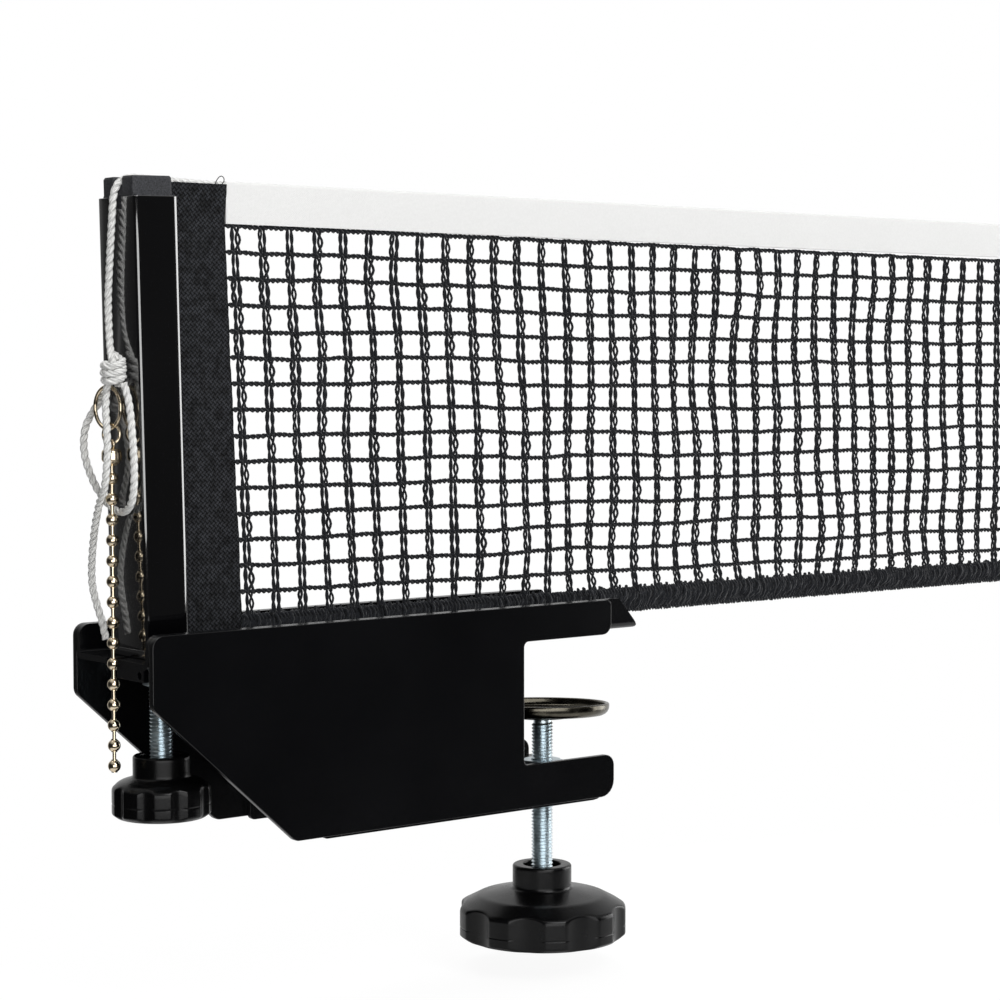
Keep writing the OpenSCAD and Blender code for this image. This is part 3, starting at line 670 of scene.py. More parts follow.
def shader_group(name, outputs, **inputs):
    tree = bpy.data.node_groups.new(name, "ShaderNodeTree")
    for label, value in inputs.items():
        tree.interface.new_socket(label, in_out="INPUT", socket_type="NodeSocketFloat").default_value = value
    for label in outputs:
        tree.interface.new_socket(label, in_out="OUTPUT", socket_type="NodeSocketFloat")
    graph = Graph(tree)
    return graph, graph.add("NodeGroupInput").outputs


def grain_group():
    """Fine grain with slow blotches, both from noise on the object's coordinates."""
    graph, given = shader_group("Surface grain", ["Grain", "Blotch"], Fine=2500.0, Broad=60.0)
    place = graph.add("ShaderNodeTexCoord").outputs["Object"]
    fine = graph.out("ShaderNodeTexNoise", {"Vector": place, "Scale": given["Fine"], "Detail": 3.0})
    broad = graph.out("ShaderNodeTexNoise", {"Vector": place, "Scale": given["Broad"], "Detail": 4.0})
    graph.add("NodeGroupOutput", {"Grain": fine, "Blotch": broad})
    return graph.tree


def weave_group():
    """Plain weave in the XZ plane: the height of the yarns."""
    graph, given = shader_group("Plain weave", ["Height"], Threads=1600.0, Turn=0.0)
    place = graph.add("ShaderNodeTexCoord").outputs["Object"]
    turn = graph.out("ShaderNodeVectorRotate", {
        "Vector": place, "Axis": (0, 1, 0), "Angle": given["Turn"]}, rotation_type="AXIS_ANGLE")
    split = graph.add("ShaderNodeSeparateXYZ", {0: turn}).outputs
    u = graph.times(split[0], given["Threads"])
    v = graph.times(split[2], given["Threads"])
    cell = graph.plus(graph.math("FLOOR", u), graph.math("FLOOR", v))
    warp = graph.math("ABSOLUTE", graph.math("MODULO", cell, 2.0))
    weft = graph.math("SUBTRACT", 1.0, warp)
    height = graph.plus(graph.times(warp, graph.ridges(u)), graph.times(weft, graph.ridges(v)))
    graph.add("NodeGroupOutput", {"Height": height})
    return graph.tree


def twist_group():
    """Yarns that run slantwise round a strand, from its own (length, turn) coordinates."""
    graph, given = shader_group("Twisted yarn", ["Height"], Yarns=7.0, Slant=420.0)
    place = graph.out("ShaderNodeUVMap", uv_map="along")
    split = graph.add("ShaderNodeSeparateXYZ", {0: place}).outputs
    phase = graph.plus(graph.times(split[0], given["Slant"]), graph.times(split[1], given["Yarns"]))
    graph.add("NodeGroupOutput", {"Height": graph.ridges(phase)})
    return graph.tree


def group_node(graph, maker, **values):
    if maker not in GROUPS:
        GROUPS[maker] = maker()
    node = graph.add("ShaderNodeGroup", node_tree=GROUPS[maker])
    for label, value in values.items():
        node.inputs[label].default_value = value
    return node.outputs


class Finish(Graph):
    """Material with one Principled shader and the sockets that drive it."""

    def __init__(self, name, **constants):
        self.material = bpy.data.materials.new(name)
        self.material.use_nodes = True
        super().__init__(self.material.node_tree)
        self.shader = self.tree.nodes["Principled BSDF"]
        for label, value in constants.items():
            self.shader.inputs[label.replace("_", " ")].default_value = value

    def drive(self, label, socket):
        self.tree.links.new(socket, self.shader.inputs[label])

    def surface(self, shade, mask, stops, gloss, rough, height, depth):
        """Colour between factors of the shade by a mask, roughness by another, and bumps of a depth."""
        shades = [(place, scaled(shade, factor)) for place, factor in stops]
        self.drive("Base Color", self.ramp(mask, *shades))
        self.drive("Roughness", self.spread(gloss, 0.3, 0.7, *rough))
        self.drive("Normal", self.out("ShaderNodeBump", {"Height": height, "Distance": depth}))
        return self.material


def scaled(shade, factor):
    return tuple(min(1.0, c * factor) for c in shade)


def grained_finish(name, shade, broad, mask, stops, fine, rough, depth, **constants):
    """Finish whose colour, gloss and bumps follow the surface grain."""
    look = Finish(name, **constants)
    grain = group_node(look, grain_group, Fine=fine, Broad=broad)
    return look.surface(shade, grain[mask], stops, grain["Blotch"], rough, grain["Grain"], depth)


def cloth_finish(name, shade, stops, threads, turn, depth):
    """Woven cloth whose yarns cross over and under; its colour carries painted shade between the yarns,
    painted light on their crowns and blotches of painted crease shade.
    """
    look = Finish(name, Specular_IOR_Level=0.2)
    weave = group_node(look, weave_group, Threads=threads, Turn=turn)["Height"]
    grain = group_node(look, grain_group, Fine=threads * 1.3, Broad=threads / 2.2)
    # Colour mask: yarn height times blotches, so low yarns and blotches get painted shade and yarn crowns
    # painted light
    lift = look.times(weave, look.spread(grain["Blotch"], 0.36, 0.64, 0.45, 1.0))
    height = look.plus(weave, look.times(grain["Grain"], 0.5))
    return look.surface(shade, lift, stops, grain["Grain"], (0.7, 0.95), height, depth)


def cord_finish(name, shade):
    """Laid cord of fine twisted yarns, with a little painted shade, grey, in the grooves between them."""
    look = Finish(name, Specular_IOR_Level=0.3, Sheen_Weight=0.2)
    yarn = group_node(look, twist_group, Yarns=6.0, Slant=520.0)["Height"]
    grain = group_node(look, grain_group, Fine=3000.0, Broad=250.0)
    height = look.plus(yarn, look.times(grain["Grain"], 0.4))
    # The colour stops on the yarn ridges paint shade into the grooves between the yarns
    return look.surface(shade, yarn, ((0.0, 0.8), (0.5, 1.0)), grain["Blotch"], (0.6, 0.85), height, 0.1 * MM)


# What each kind of grained finish has in common; a stop is a place in the mask and a factor on the colour
PAINT = dict(broad=22.0, mask="Blotch", stops=((0.2, 0.85), (0.8, 1.25)),
             Coat_Roughness=0.05, Coat_IOR=2.3, Specular_IOR_Level=0.35)
PLASTIC = dict(broad=140.0, mask="Grain", stops=((0.35, 0.6), (0.72, 1.9)), Specular_IOR_Level=0.24)
METAL = dict(broad=180.0, mask="Blotch", stops=((0.3, 0.75), (0.65, 1.0)), Metallic=1.0)
STRING = dict(broad=500.0, mask="Grain", stops=((0.35, 0.55), (0.75, 2.2)),
              Specular_IOR_Level=0.2, Sheen_Weight=0.15)

# Slot: name, colour, kind, grain's scale, roughness and depth in millimetres, and what differs from its kind
GRAINED = {
    "frame_paint": ("Powder coat", "frame_paint", PAINT, 1500.0, (0.2, 0.25), 0.02, {"Coat_Weight": 0.0}),
    "post_paint": ("Gloss paint", "post_paint", PAINT, 500.0, (0.1, 0.2), 0.006, {"Coat_Weight": 1.0}),
    "knob_plastic": ("Knob plastic", "knob_plastic", PLASTIC, 2600.0, (0.2, 0.28), 0.02, {}),
    "cap_plastic": ("Cap plastic", "cap_plastic", PLASTIC, 1900.0, (0.45, 0.6), 0.06, {}),
    "zinc_steel": ("Zinc plate", "zinc", METAL, 2200.0, (0.28, 0.4), 0.008, {}),
    "pad_nickel": ("Dark nickel", "pad_metal", METAL, 1500.0, (0.16, 0.3), 0.008,
                   {"stops": ((0.3, 0.5), (0.65, 1.0))}),
    "chain_nickel": ("Warm nickel", "chain_metal", METAL, 1500.0, (0.08, 0.2), 0.006,
                     {"stops": ((0.3, 0.85), (0.65, 1.0))}),
    "net_string": ("Net string", "net_string", STRING, 3800.0, (0.75, 0.95), 0.12, {}),
}
# Slot: name, colour, stops (painted shade between the yarns and painted light on their crowns), threads to
# the metre, turn of the weave and depth in metres
WOVEN = {
    "black_cloth": ("Black band cloth", "band_cloth", ((0.2, 0.05), (1.0, 5.0)), 820.0, 0.785, 0.4 * MM),
    "white_tape": ("White tape", "tape_cloth", ((0.2, 0.93), (1.0, 1.0)), 2400.0, 0.0, 0.05 * MM),
}


def look_of(slot):
    """The finish of a material slot, made when it is first asked for."""
    if slot not in LOOKS:
        shades = bpy.context.scene.clamp_finish
        if slot in GRAINED:
            name, shade, kind, fine, rough, depth, own = GRAINED[slot]
            values = {**kind, "fine": fine, "rough": rough, "depth": depth * MM, **own}
            LOOKS[slot] = grained_finish(name, tuple(getattr(shades, shade)), **values)
        elif slot in WOVEN:
            name, shade, *values = WOVEN[slot]
            LOOKS[slot] = cloth_finish(name, tuple(getattr(shades, shade)), *values)
        else:
            LOOKS[slot] = cord_finish("White cord", tuple(shades.cord_yarn))
    return LOOKS[slot]


# ---- Net geometry ----

def net_share(x):
    return (x - NET_LEFT_FOOT_X) / (NET_END_X - NET_LEFT_FOOT_X)


def between(pair, share):
    return pair[0] + (pair[1] - pair[0]) * share


def row_height(row, x):
    """Height of a row of the net, counted down from the tape, with the hem's top as the last."""
    share = net_share(x)
    top, foot = between(ROW_TOP, share), between(ROW_FOOT, share)
    if row <= NET_ROWS - 1:
        return top + (foot - top) * row / (NET_ROWS - 1)
    return foot + (between(HEM_TOP, share) - foot) * (row - NET_ROWS + 1)


def hang_net(share, y, row):
    """Place of a point of the unrolled net, at a share of its width and a row that may be a fraction."""
    guess = NET_LEFT_FOOT_X + share * (NET_END_X - NET_LEFT_FOOT_X)
    rise = (row_height(row, guess) - NET_FOOT_Z) / NET_RISE
    left = between((NET_LEFT_FOOT_X, NET_LEFT_TOP_X), rise)
    x = left + share * (NET_END_X - left)
    held_ends, held_rows = 12, 2
    free = min(1.0, share * held_ends, (1 - share) * held_ends)
    free *= min(1.0, row / held_rows) * min(1.0, (NET_ROWS - row) / held_rows)
    sway = [reach * MM * free * noise.noise((share * 9, row * -0.23, layer)) for reach, layer in NET_SWAY]
    return Vector((x, y, row_height(row, x))) + Vector(sway)


def column_tree(values):
    """Grid of cells, each with a pair of strings of two threads that open between the rows."""
    tree = ShapeTree("Net columns", values)
    given = tree.given
    kinds = []
    for kind in CELL_KINDS:
        threads = []
        for side, (wind, aside) in zip((-1, 1), kind):
            for start in (0.0, math.pi):
                line = tree.wound(given["Cell"], 9, 1.0, start + side + aside * 3,
                                  tree.part_of("Thread", wind), tree.part_of("Thread", aside))
                tube = tree.tube(line, tree.part_of("Thread", 0.52), 5)
                threads.append(tree.shifted(tube, Y=tree.part_of("Thread", 0.85 * side)))
        upright = tree.rotated(tree.joined(threads), 0, math.pi / 2, 0)
        squared = tree.rotated(upright, 0, 0, math.pi / 2)
        kinds.append(tree.shape("GeometryToInstance", {0: squared}))
    column = tree.row_of(given["Rows"], tree.vector(Z=tree.part_of("Cell", -1.0)))
    step = tree.ratio("Width", "Columns")
    line = tree.row_of(given["Columns"], tree.vector(X=step), tree.vector(X=tree.times(step, 0.3)))
    points = tree.shape("RealizeInstances", {0: tree.copies(line, column)})
    swell = tree.random((0.8, 0.85, 1.0), (1.3, 1.15, 1.0))
    last_kind = len(CELL_KINDS) - 1
    pick = tree.add("FunctionNodeRandomValue", {4: 0, 5: last_kind, "Seed": given["Seed"]}, data_type="INT")
    return tree.end(tree.copies(points, tree.joined(kinds), {
        "Scale": swell, "Pick Instance": True, "Instance Index": pick.outputs[2]}))


def row_tree(values):
    """Level strings of two twisted threads, one under the other."""
    tree = ShapeTree("Net rows", values)
    string = tree.joined(tree.level_threads(520, 0.55))
    points = tree.row_of(tree.given["Rows"], tree.vector(Z=tree.part_of("Cell", -1.0)))
    return tree.end(tree.copies(points, string))


def hem_tree(values):
    """Edge strings with close slanting stitches over them."""
    tree = ShapeTree("Net hem", values)
    given = tree.given
    parts = []
    for level in (0.08, 0.92):
        lift = tree.part_of("Height", level)
        parts += [tree.shifted(thread, Z=lift) for thread in tree.level_threads(560, 0.6)]
    ground = tree.vector(X=given["Width"], Y=given["Thread"], Z=tree.part_of("Height", 0.8))
    strip = tree.shape("MeshCube", {"Size": ground, "Vertices X": 60})
    parts.append(tree.shifted(strip, X=tree.part_of("Width", 0.5), Z=tree.part_of("Height", 0.5)))
    stitch = tree.wound(given["Height"], 7, 1.0, 0.0, tree.part_of("Thread", 0.9))
    upright = tree.rotated(tree.tube(stitch, tree.part_of("Thread", 0.5), 5), 0, -math.pi / 2, 0)
    points = tree.row_of(given["Stitches"], tree.vector(X=tree.ratio("Width", "Stitches")))
    lean = tree.random((-0.3, -0.24, -1.5), (0.3, 0.24, 1.5))
    tall = tree.random((1.0, 1.0, 0.9), (1.5, 1.6, 1.16))
    return tree.end(tree.copies(points, upright, {"Rotation": lean, "Scale": tall}), *parts)


def thread_tree(values):
    """Ridge of a screw's thread round its core, rising to the right."""
    tree = ShapeTree("Screw thread", values)
    ridge = tree.part_of("Pitch", 0.46)
    centre = tree.math("SUBTRACT", tree.given["Radius"], ridge)
    spiral = tree.shape("CurveSpiral", {
        "Resolution": 40, "Rotations": tree.ratio("Length", "Pitch"), "Start Radius": centre,
        "End Radius": centre, "Height": tree.given["Length"], "Reverse": True})
    level = tree.out("GeometryNodeSetCurveNormal", {"Curve": spiral}, mode="Z_UP")
    return tree.end(tree.tube(level, ridge, 4))


def bead_tree(values):
    """Hollow beads on short wires, hanging down from the first bead's centre."""
    tree = ShapeTree("Bead chain", values)
    given = tree.given
    down = tree.vector(Z=tree.part_of("Pitch", -1.0))
    ball = tree.shape("MeshUVSphere", {"Segments": 32, "Rings": 20, "Radius": tree.part_of("Diameter", 0.5)})
    collar = tree.shape("MeshCylinder", {
        "Vertices": 20, "Radius": tree.part_of("Wire", 0.85), "Depth": tree.part_of("Diameter", 0.99)})
    beads = tree.copies(tree.row_of(given["Beads"], down), tree.joined([ball, collar]))
    first = tree.vector(Z=tree.plus(tree.part_of("Pitch", -0.5), given["Lead"]))
    wire = tree.shape("MeshCylinder", {
        "Vertices": 16, "Radius": tree.part_of("Wire", 0.5), "Depth": tree.part_of("Pitch", 0.52)})
    return tree.end(beads, tree.copies(tree.row_of(given["Wires"], down, first), wire))


# ---- Knobs ----

def grip_limit(r, grips, half_angle, depth):
    """Function that draws a knob's radius in at its round grips, with soft edges."""
    reach = r * math.cos(half_angle) - (r - depth)
    cut_r = (reach ** 2 + (r * math.sin(half_angle)) ** 2) / (2 * reach)
    centre = r - depth + cut_r
    soft = 0.9 * MM

    def outline(angle):
        step = math.tau / grips
        away = (angle / step) % 1 - 0.5
        phi = away * step
        if abs(math.sin(phi)) * centre >= cut_r:
            return r
        return min(r, centre * math.cos(phi) - math.sqrt(cut_r ** 2 - (centre * math.sin(phi)) ** 2))

    def limit(angle, radius):
        edge = outline(angle) + 0.2 * soft
        blend = max(soft - abs(radius - edge), 0.0)
        return min(radius, edge) - blend * blend / (4 * soft)

    return limit


def spaced(profile, gap):
    """Adds points so that no stretch of the profile is longer than gap."""
    out = [profile[0]]
    for (r0, z0), (r1, z1) in zip(profile, profile[1:]):
        count = max(1, math.ceil(math.hypot(r1 - r0, z1 - z0) / gap))
        out += [(r0 + (r1 - r0) * k / count, z0 + (z1 - z0) * k / count) for k in range(1, count + 1)]
    return out


def knob_shapes(foot, top, r, collar_r, collar_h, dome_h, half_angle):
    """Body and cover of a knob that stands on foot, as two turned shapes with grips."""
    height = top - foot
    rim_top = height - collar_h - dome_h
    recess_z = height - 3 * MM
    body = rounded(
        [(0, COVER_H), (r - 0.15 * MM, COVER_H), (r, COVER_H + 0.5 * MM), (r, rim_top),
         (0.62 * r + 0.38 * collar_r, rim_top + 0.62 * dome_h), (collar_r, rim_top + dome_h),
         (collar_r, height), (7 * MM, height), (7 * MM, recess_z), (NUT_BORE_R, recess_z), (0, recess_z)],
        [0, 0, 0.3 * MM, 2.2 * MM, 7 * MM, 1.2 * MM, 0.9 * MM, 0.5 * MM, 0.4 * MM, 0, 0])
    cover = rounded(
        [(0, 0), (r - 2 * MM, 0), (r, 1.4 * MM), (r, COVER_H - 0.4 * MM), (r - 0.2 * MM, COVER_H),
         (0, COVER_H)],
        [0, 1.2 * MM, 0.9 * MM, 0.2 * MM, 0.1 * MM, 0])
    limit = grip_limit(r, sizes().grips, math.radians(half_angle), 0.04 * 2 * r)
    return [moved(turned(spaced(p, 0.6 * MM), 270, limit=limit), at(0, 0, foot)) for p in (body, cover)]


# ---- Operators ----

class Maker(bpy.types.Operator):
    """Base of the operators that make pieces."""
    bl_options = {"REGISTER", "UNDO"}

    def execute(self, context):
        self.make(context)
        return {"FINISHED"}


class CLAMP_OT_camera(Maker):
    """Place the camera"""
    bl_idname = "net_clamp.camera"
    bl_label = "Camera"

    def make(self, context):
        lens = bpy.data.cameras.new("camera")
        lens.lens = 90
        lens.sensor_width = 36
        lens.clip_start = 0.01
        view = linked("camera", lens)
        view.location = (-0.588, -0.714, 0.1021)
        view.rotation_euler = (math.radians(86.68), 0, math.radians(-38.5))
        context.scene.camera = view


class CLAMP_OT_cords(Maker):
    """Lay the cord's strands and its knot"""
    bl_idname = "net_clamp.cords"
    bl_label = "Cord and knot"

    def strand(self, route, name, node, **facts):
        path = evenly(smooth_path(from_edge(route), 8), 0.55 * MM)
        shape, along = laid_cord(path)
        piece = piece_of(shape, name, node, "white_cord", 50, along)
        return piece

    def knot(self):
        """Turns of the cord wound round its own strands."""
        centre = from_edge([KNOT_AT])[0]
        turns, steps = 3.1, 16
        start, slope_from = 0.6, 0.9
        turn_r, belly, height = 2.75, 0.35, 7.4 * MM
        points = []
        for i in range(int(turns * steps) + 1):
            share = i / (turns * steps)
            angle = math.tau * turns * share + start
            r = (turn_r + belly * math.sin(share * math.pi)) * MM
            rise = (share - 0.5) * height
            slope = 0.28 * r * math.cos(angle - slope_from)
            points.append(centre + Vector((r * math.cos(angle), 1.12 * r * math.sin(angle), rise + slope)))
        first = points[0] + Vector((1.2, 1.6, -1.6)) * MM
        last = points[-1] + Vector((0.6, -0.4, 1.8)) * MM
        shape, along = laid_cord(evenly(smooth_path([first] + points + [last], 4), 0.5 * MM))
        core = smooth_path(from_edge([CORD_ROUTE[-1], KNOT_AT, TAIL_ROUTE[0]]), 10)
        other, more = laid_cord(evenly(core, 0.55 * MM))
        return piece_of(together(shape, other), "knot", "cord_knot", "white_cord", 50, along + more)

    def make(self, context):
        knot = self.knot()
        self.strand(CORD_ROUTE, "cord", "tension_cord", far_end="knot", lay="taut", with_pieces=[knot])
        self.strand(TAIL_ROUTE, "cord_end", "cord_tail", far_end="bare", lay="hanging")
        self.strand(LOOP_ROUTE, "cord_bight", "cord_loop", far_end="knot", lay="hanging")


class CLAMP_OT_frame(Maker):
    """Make the painted plates and channels"""
    bl_idname = "net_clamp.frame"
    bl_label = "Plates and channels"

    def make(self, context):
        for node, name in (("side_plate_front", "front_plate"), ("side_plate_rear", "rear_plate"),
                           ("upper_channel", "top_channel"), ("lower_channel", "bottom_channel")):
            eased(node, name, "frame_paint", sizes().plate_ease)


class CLAMP_OT_screws(Maker):
    """Make the screws with their threads, the nuts and the washer"""
    bl_idname = "net_clamp.screws"
    bl_label = "Screws and nuts"

    def screw(self, name, node, centre, knob_foot, shoulder, end):
        """Core, head and thread; end lists the (radius, height) points of the end over the shoulder."""
        pitch = sizes().thread_pitch
        low, high = knob_foot + 10 * MM, shoulder - 0.05 * MM
        core_r, head_r = THREAD_R - 0.62 * pitch, 7.5 * MM
        head_z = knob_foot + 4.7 * MM
        core = turned([(0, low), (core_r, low), (core_r, high)] + end, 64)
        head = turned([(0, head_z), (head_r, head_z), (head_r, head_z + HEAD_H), (0, head_z + HEAD_H)], 6)
        piece_of(moved(together(core, head), at(centre, 0, 0)), name, node, "zinc_steel", 30)
        values = {"Radius": THREAD_R, "Pitch": pitch, "Length": high - low - 0.8 * MM}
        grown(thread_tree, name + "_thread", node, "zinc_steel", values,
              place=at(centre, 0, low), sharp=30, replaces=False)

    def ring(self, name, node, profile, centre=0):
        outline = rounded(profile, [0.25 * MM] * len(profile))
        piece_of(moved(turned(outline, 80, closed=True), at(centre, 0, 0)), name, node, "zinc_steel", 34)

    def nut(self, name, node, barrel_r, flange_r, flange_h, centre=0):
        low, high = (edge.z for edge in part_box(node))
        step = high - flange_h
        self.ring(name, node, [(NUT_BORE_R, low), (barrel_r, low), (barrel_r, step), (flange_r, step),
                               (flange_r, high), (NUT_BORE_R, high)], centre)

    def make(self, context):
        rivet_z = NECK_TOP_Z - 0.9 * MM
        self.screw("clamp_rod", "clamp_screw", 0, CLAMP_KNOB_FOOT, SHOULDER_Z, [
            (NECK_R, SHOULDER_Z), (NECK_R, rivet_z), (4.2 * MM, rivet_z), (3.9 * MM, NECK_TOP_Z - 0.5 * MM),
            (2.9 * MM, NECK_TOP_Z - 0.05 * MM), (0, NECK_TOP_Z)])
        journal_top = HEIGHT_SHAFT_TOP_Z + JOURNAL_H
        self.screw("height_rod", "height_screw", HEIGHT_X, HEIGHT_KNOB_FOOT, HEIGHT_SHAFT_TOP_Z, [
            (JOURNAL_R, HEIGHT_SHAFT_TOP_Z), (JOURNAL_R, journal_top - 0.1 * MM), (0, journal_top)])
        self.nut("flange_nut_clamp", "clamp_nut", 5.6 * MM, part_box("clamp_nut")[1].x, 1.8 * MM)
        self.nut("flange_nut_height", "height_nut", 6 * MM, 8 * MM, 1.5 * MM, HEIGHT_X)
        low, high = (edge.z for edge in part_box("pad_washer"))
        hole_r, rim_r = 2.7 * MM, 5.5 * MM
        self.ring("pad_keeper", "pad_washer", [(hole_r, low), (rim_r, low), (rim_r, high), (hole_r, high)])


class CLAMP_OT_pad(Maker):
    """Turn the clamp's dished pad"""
    bl_idname = "net_clamp.pad"
    bl_label = "Pad"

    def make(self, context):
        profile = mm([(3.6, -0.75), (9, -0.75), (10.5, 0.75), (25, 0.75), (25, 5.25), (23.5, 5.25),
                      (23.5, 2.25), (9.9, 2.25), (8.4, 0.75), (3.6, 0.75)])
        radii = mm([(0.3, 1.4, 1.2, 3.2, 0.7, 0.7, 1.7, 1.2, 1.2, 0.3)])[0]
        way = math.radians(PAD_TIP_WAY)
        tip = Matrix.Rotation(math.radians(PAD_TIP), 4, Vector((-math.sin(way), math.cos(way), 0)))
        shape = moved(turned(rounded(profile, radii), 160, closed=True), at(0, 0, PAD_PIVOT_Z) @ tip)
        piece_of(shape, "dished_pad", "pad_disc", "pad_nickel", 40)


class CLAMP_OT_knobs(Maker):
    """Mould both knobs and their covers"""
    bl_idname = "net_clamp.knobs"
    bl_label = "Knobs"

    def make(self, context):
        for word, foot, r, collar_r, collar_h, dome_h, half_angle, centre in (
                ("clamp", CLAMP_KNOB_FOOT, CLAMP_KNOB_R, 11 * MM, 8.9 * MM, 6.5 * MM, 13, 0),
                ("height", HEIGHT_KNOB_FOOT, HEIGHT_KNOB_R, 9.5 * MM, 7.3 * MM, 3.4 * MM, 10, HEIGHT_X)):
            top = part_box(word + "_knob")[1].z
            body, cover = knob_shapes(foot, top, r, collar_r, collar_h, dome_h, half_angle)
            for shape, name, node in ((body, "_knob_body", "_knob"), (cover, "_knob_base", "_knob_cover")):
                piece_of(moved(shape, at(centre, 0, 0)), word + name, word + node, "knob_plastic", 48)


class CLAMP_OT_post(Maker):
    """Make the post's tube, foot, cap and rod"""
    bl_idname = "net_clamp.post"
    bl_label = "Post"

    def placed(self, mesh, place):
        """Moves each of the mesh's points by place(point) in the post's own frame."""
        local = post_place().inverted()
        for vertex in mesh.vertices:
            point = place(local @ vertex.co)
            if point:
                vertex.co = post_place() @ point

    def reshape(self, mesh):
        """Makes the tube's corners broad and soft toward the net and tight on its outer side."""
        centre_x, centre_y = POST_W / 2 - POST_CORNER_R, POST_D / 2 - POST_CORNER_R
        tight, broad = 0.6, 1.6

        def place(point):
            along, across = abs(point.x) - centre_x, abs(point.y) - centre_y
            if min(along, across) < -1e-5 or math.hypot(along, across) < 0.9 * POST_CORNER_R:
                return None
            wide = broad if point.x > 0 else tight
            return Vector((math.copysign(POST_W / 2 - (POST_CORNER_R - along) * wide, point.x),
                           math.copysign(POST_D / 2 - (POST_CORNER_R - across) * tight, point.y), point.z))

        self.placed(mesh, place)

    def reshape_cap(self, mesh):
        """Tightens the rounding of the cap's outer edges."""
        def place(point):
            for axis, edge in enumerate((CAP_W / 2, CAP_D / 2, CAP_TOP)):
                inside = edge - abs(point[axis])
                if 0 < inside < CAP_EDGE_R:
                    point[axis] = math.copysign(edge - 0.5 * inside, point[axis])
            return point

        self.placed(mesh, place)

    def make(self, context):
        eased("post_tube", "tube", "post_paint", 0.25 * MM, moulded=self.reshape)
        eased("post_foot", "foot_plug", "post_paint", 0.3 * MM)
        eased("post_cap", "cap", "cap_plastic", 0.4 * MM, moulded=self.reshape_cap)
        eased("net_rod", "rod", "zinc_steel", 0.4 * MM)


class CLAMP_OT_cloth(Maker):
    """Make the band, tape, binding and sleeve"""
    bl_idname = "net_clamp.cloth"
    bl_label = "Cloth pieces"

    def loose_thread(self, x, z):
        """Loop of a thread that has come out of the band's top right corner."""
        loop = mm([(-4.4, -1), (-3.9, 0.8), (-2.7, 2.3), (-1.5, 2.6), (-0.8, 1.7), (-1.1, 0.6), (-2.2, -0.6)])
        path = smooth_path([Vector((x + across, -2.3 * MM, z + up)) for across, up in loop], 5)
        return swept([[point + (across * c + up * s) * 0.16 * MM for c, s in circle(5)]
                      for point, (across, up) in zip(path, carried_frames(path))])

    def band(self):
        low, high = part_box("net_band")
        foot_w, head_w = 28 * MM, 24.5 * MM
        lean = math.tan(math.radians(POST_LEAN))
        left = high.x - foot_w

        bulge, bulge_from, above = 2.3 * MM, 0.93, 1.7 * MM

        def forward(v):
            """The cord under the band's top pushes it forward."""
            return bulge * max(0, (v - bulge_from) / (1 - bulge_from)) ** 0.8

        def place(u, v):
            z = low.z + (high.z + above - low.z) * v
            start = left - lean * (z - low.z)
            width = foot_w + (head_w - foot_w) * v
            fray = 0.18 * MM * noise.noise((z * 420, 2.0, 0.0)) if u == 1 else 0
            return start + width * u + fray, z

        shape = cloth_slab(place, 26, 150, 1.3 * MM, 0.5 * MM, forward)
        shape = together(shape, self.loose_thread(*place(1, 1)))
        piece = piece_of(shape, "band", "net_band", "black_cloth", 0)

    def tape(self):
        low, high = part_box("net_tape")
        height, half = high.z - low.z - 1.4 * MM, 1.1 * MM
        fold = fold_section(height, half, 0.75 * MM, 4)
        steps = 160
        sections = []
        for i in range(steps + 1):
            x = low.x + (high.x - low.x) * i / steps
            sway = 0.35 * MM * noise.noise((x * 28, 5.0, 0.0))
            top = high.z - TAPE_SAG * max(net_share(x), 0)
            sections.append([(x, sway + y, top + z) for y, z in fold])
        piece = piece_of(swept(sections), "tape", "net_tape", "white_tape", 50)

    def binding(self):
        low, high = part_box("net_binding")
        half = 1.2 * MM
        width, height = high.x - low.x, high.z - TAPE_SAG - low.z
        fold = fold_section(width, half, 0.8 * MM, 2)
        steps = 60
        sections = []
        for i in range(steps + 1):
            z = low.z + height * i / steps
            sway = 0.3 * MM * noise.noise((z * 40, 8.0, 0.0))
            sections.append([(high.x + x, sway + y, z) for y, x in fold])
        piece = piece_of(swept(sections), "end_binding", "net_binding", "black_cloth", 50)

    def sleeve(self):
        stretch, half = 125 * MM, 0.6 * MM
        bore_r, sleeve_r = 2.6 * MM, 3.35 * MM
        inner_x, outer_x = 3 * MM, 7.2 * MM
        ring = turned([(bore_r, 0), (sleeve_r, 0), (sleeve_r, stretch), (bore_r, stretch)], 48, closed=True)
        corners_xy = ((inner_x, -half), (outer_x, -half), (outer_x, half), (inner_x, half))
        tongue = swept([[(x, y, z) for x, y in corners_xy] for z in (0, stretch)])
        shape = moved(together(ring, tongue), post_place() @ at(1 * MM, 0, 11.2 * MM))
        piece = piece_of(shape, "rod_sleeve", "net_sleeve", "black_cloth", 40)

    def make(self, context):
        self.band()
        self.tape()
        self.binding()
        self.sleeve()


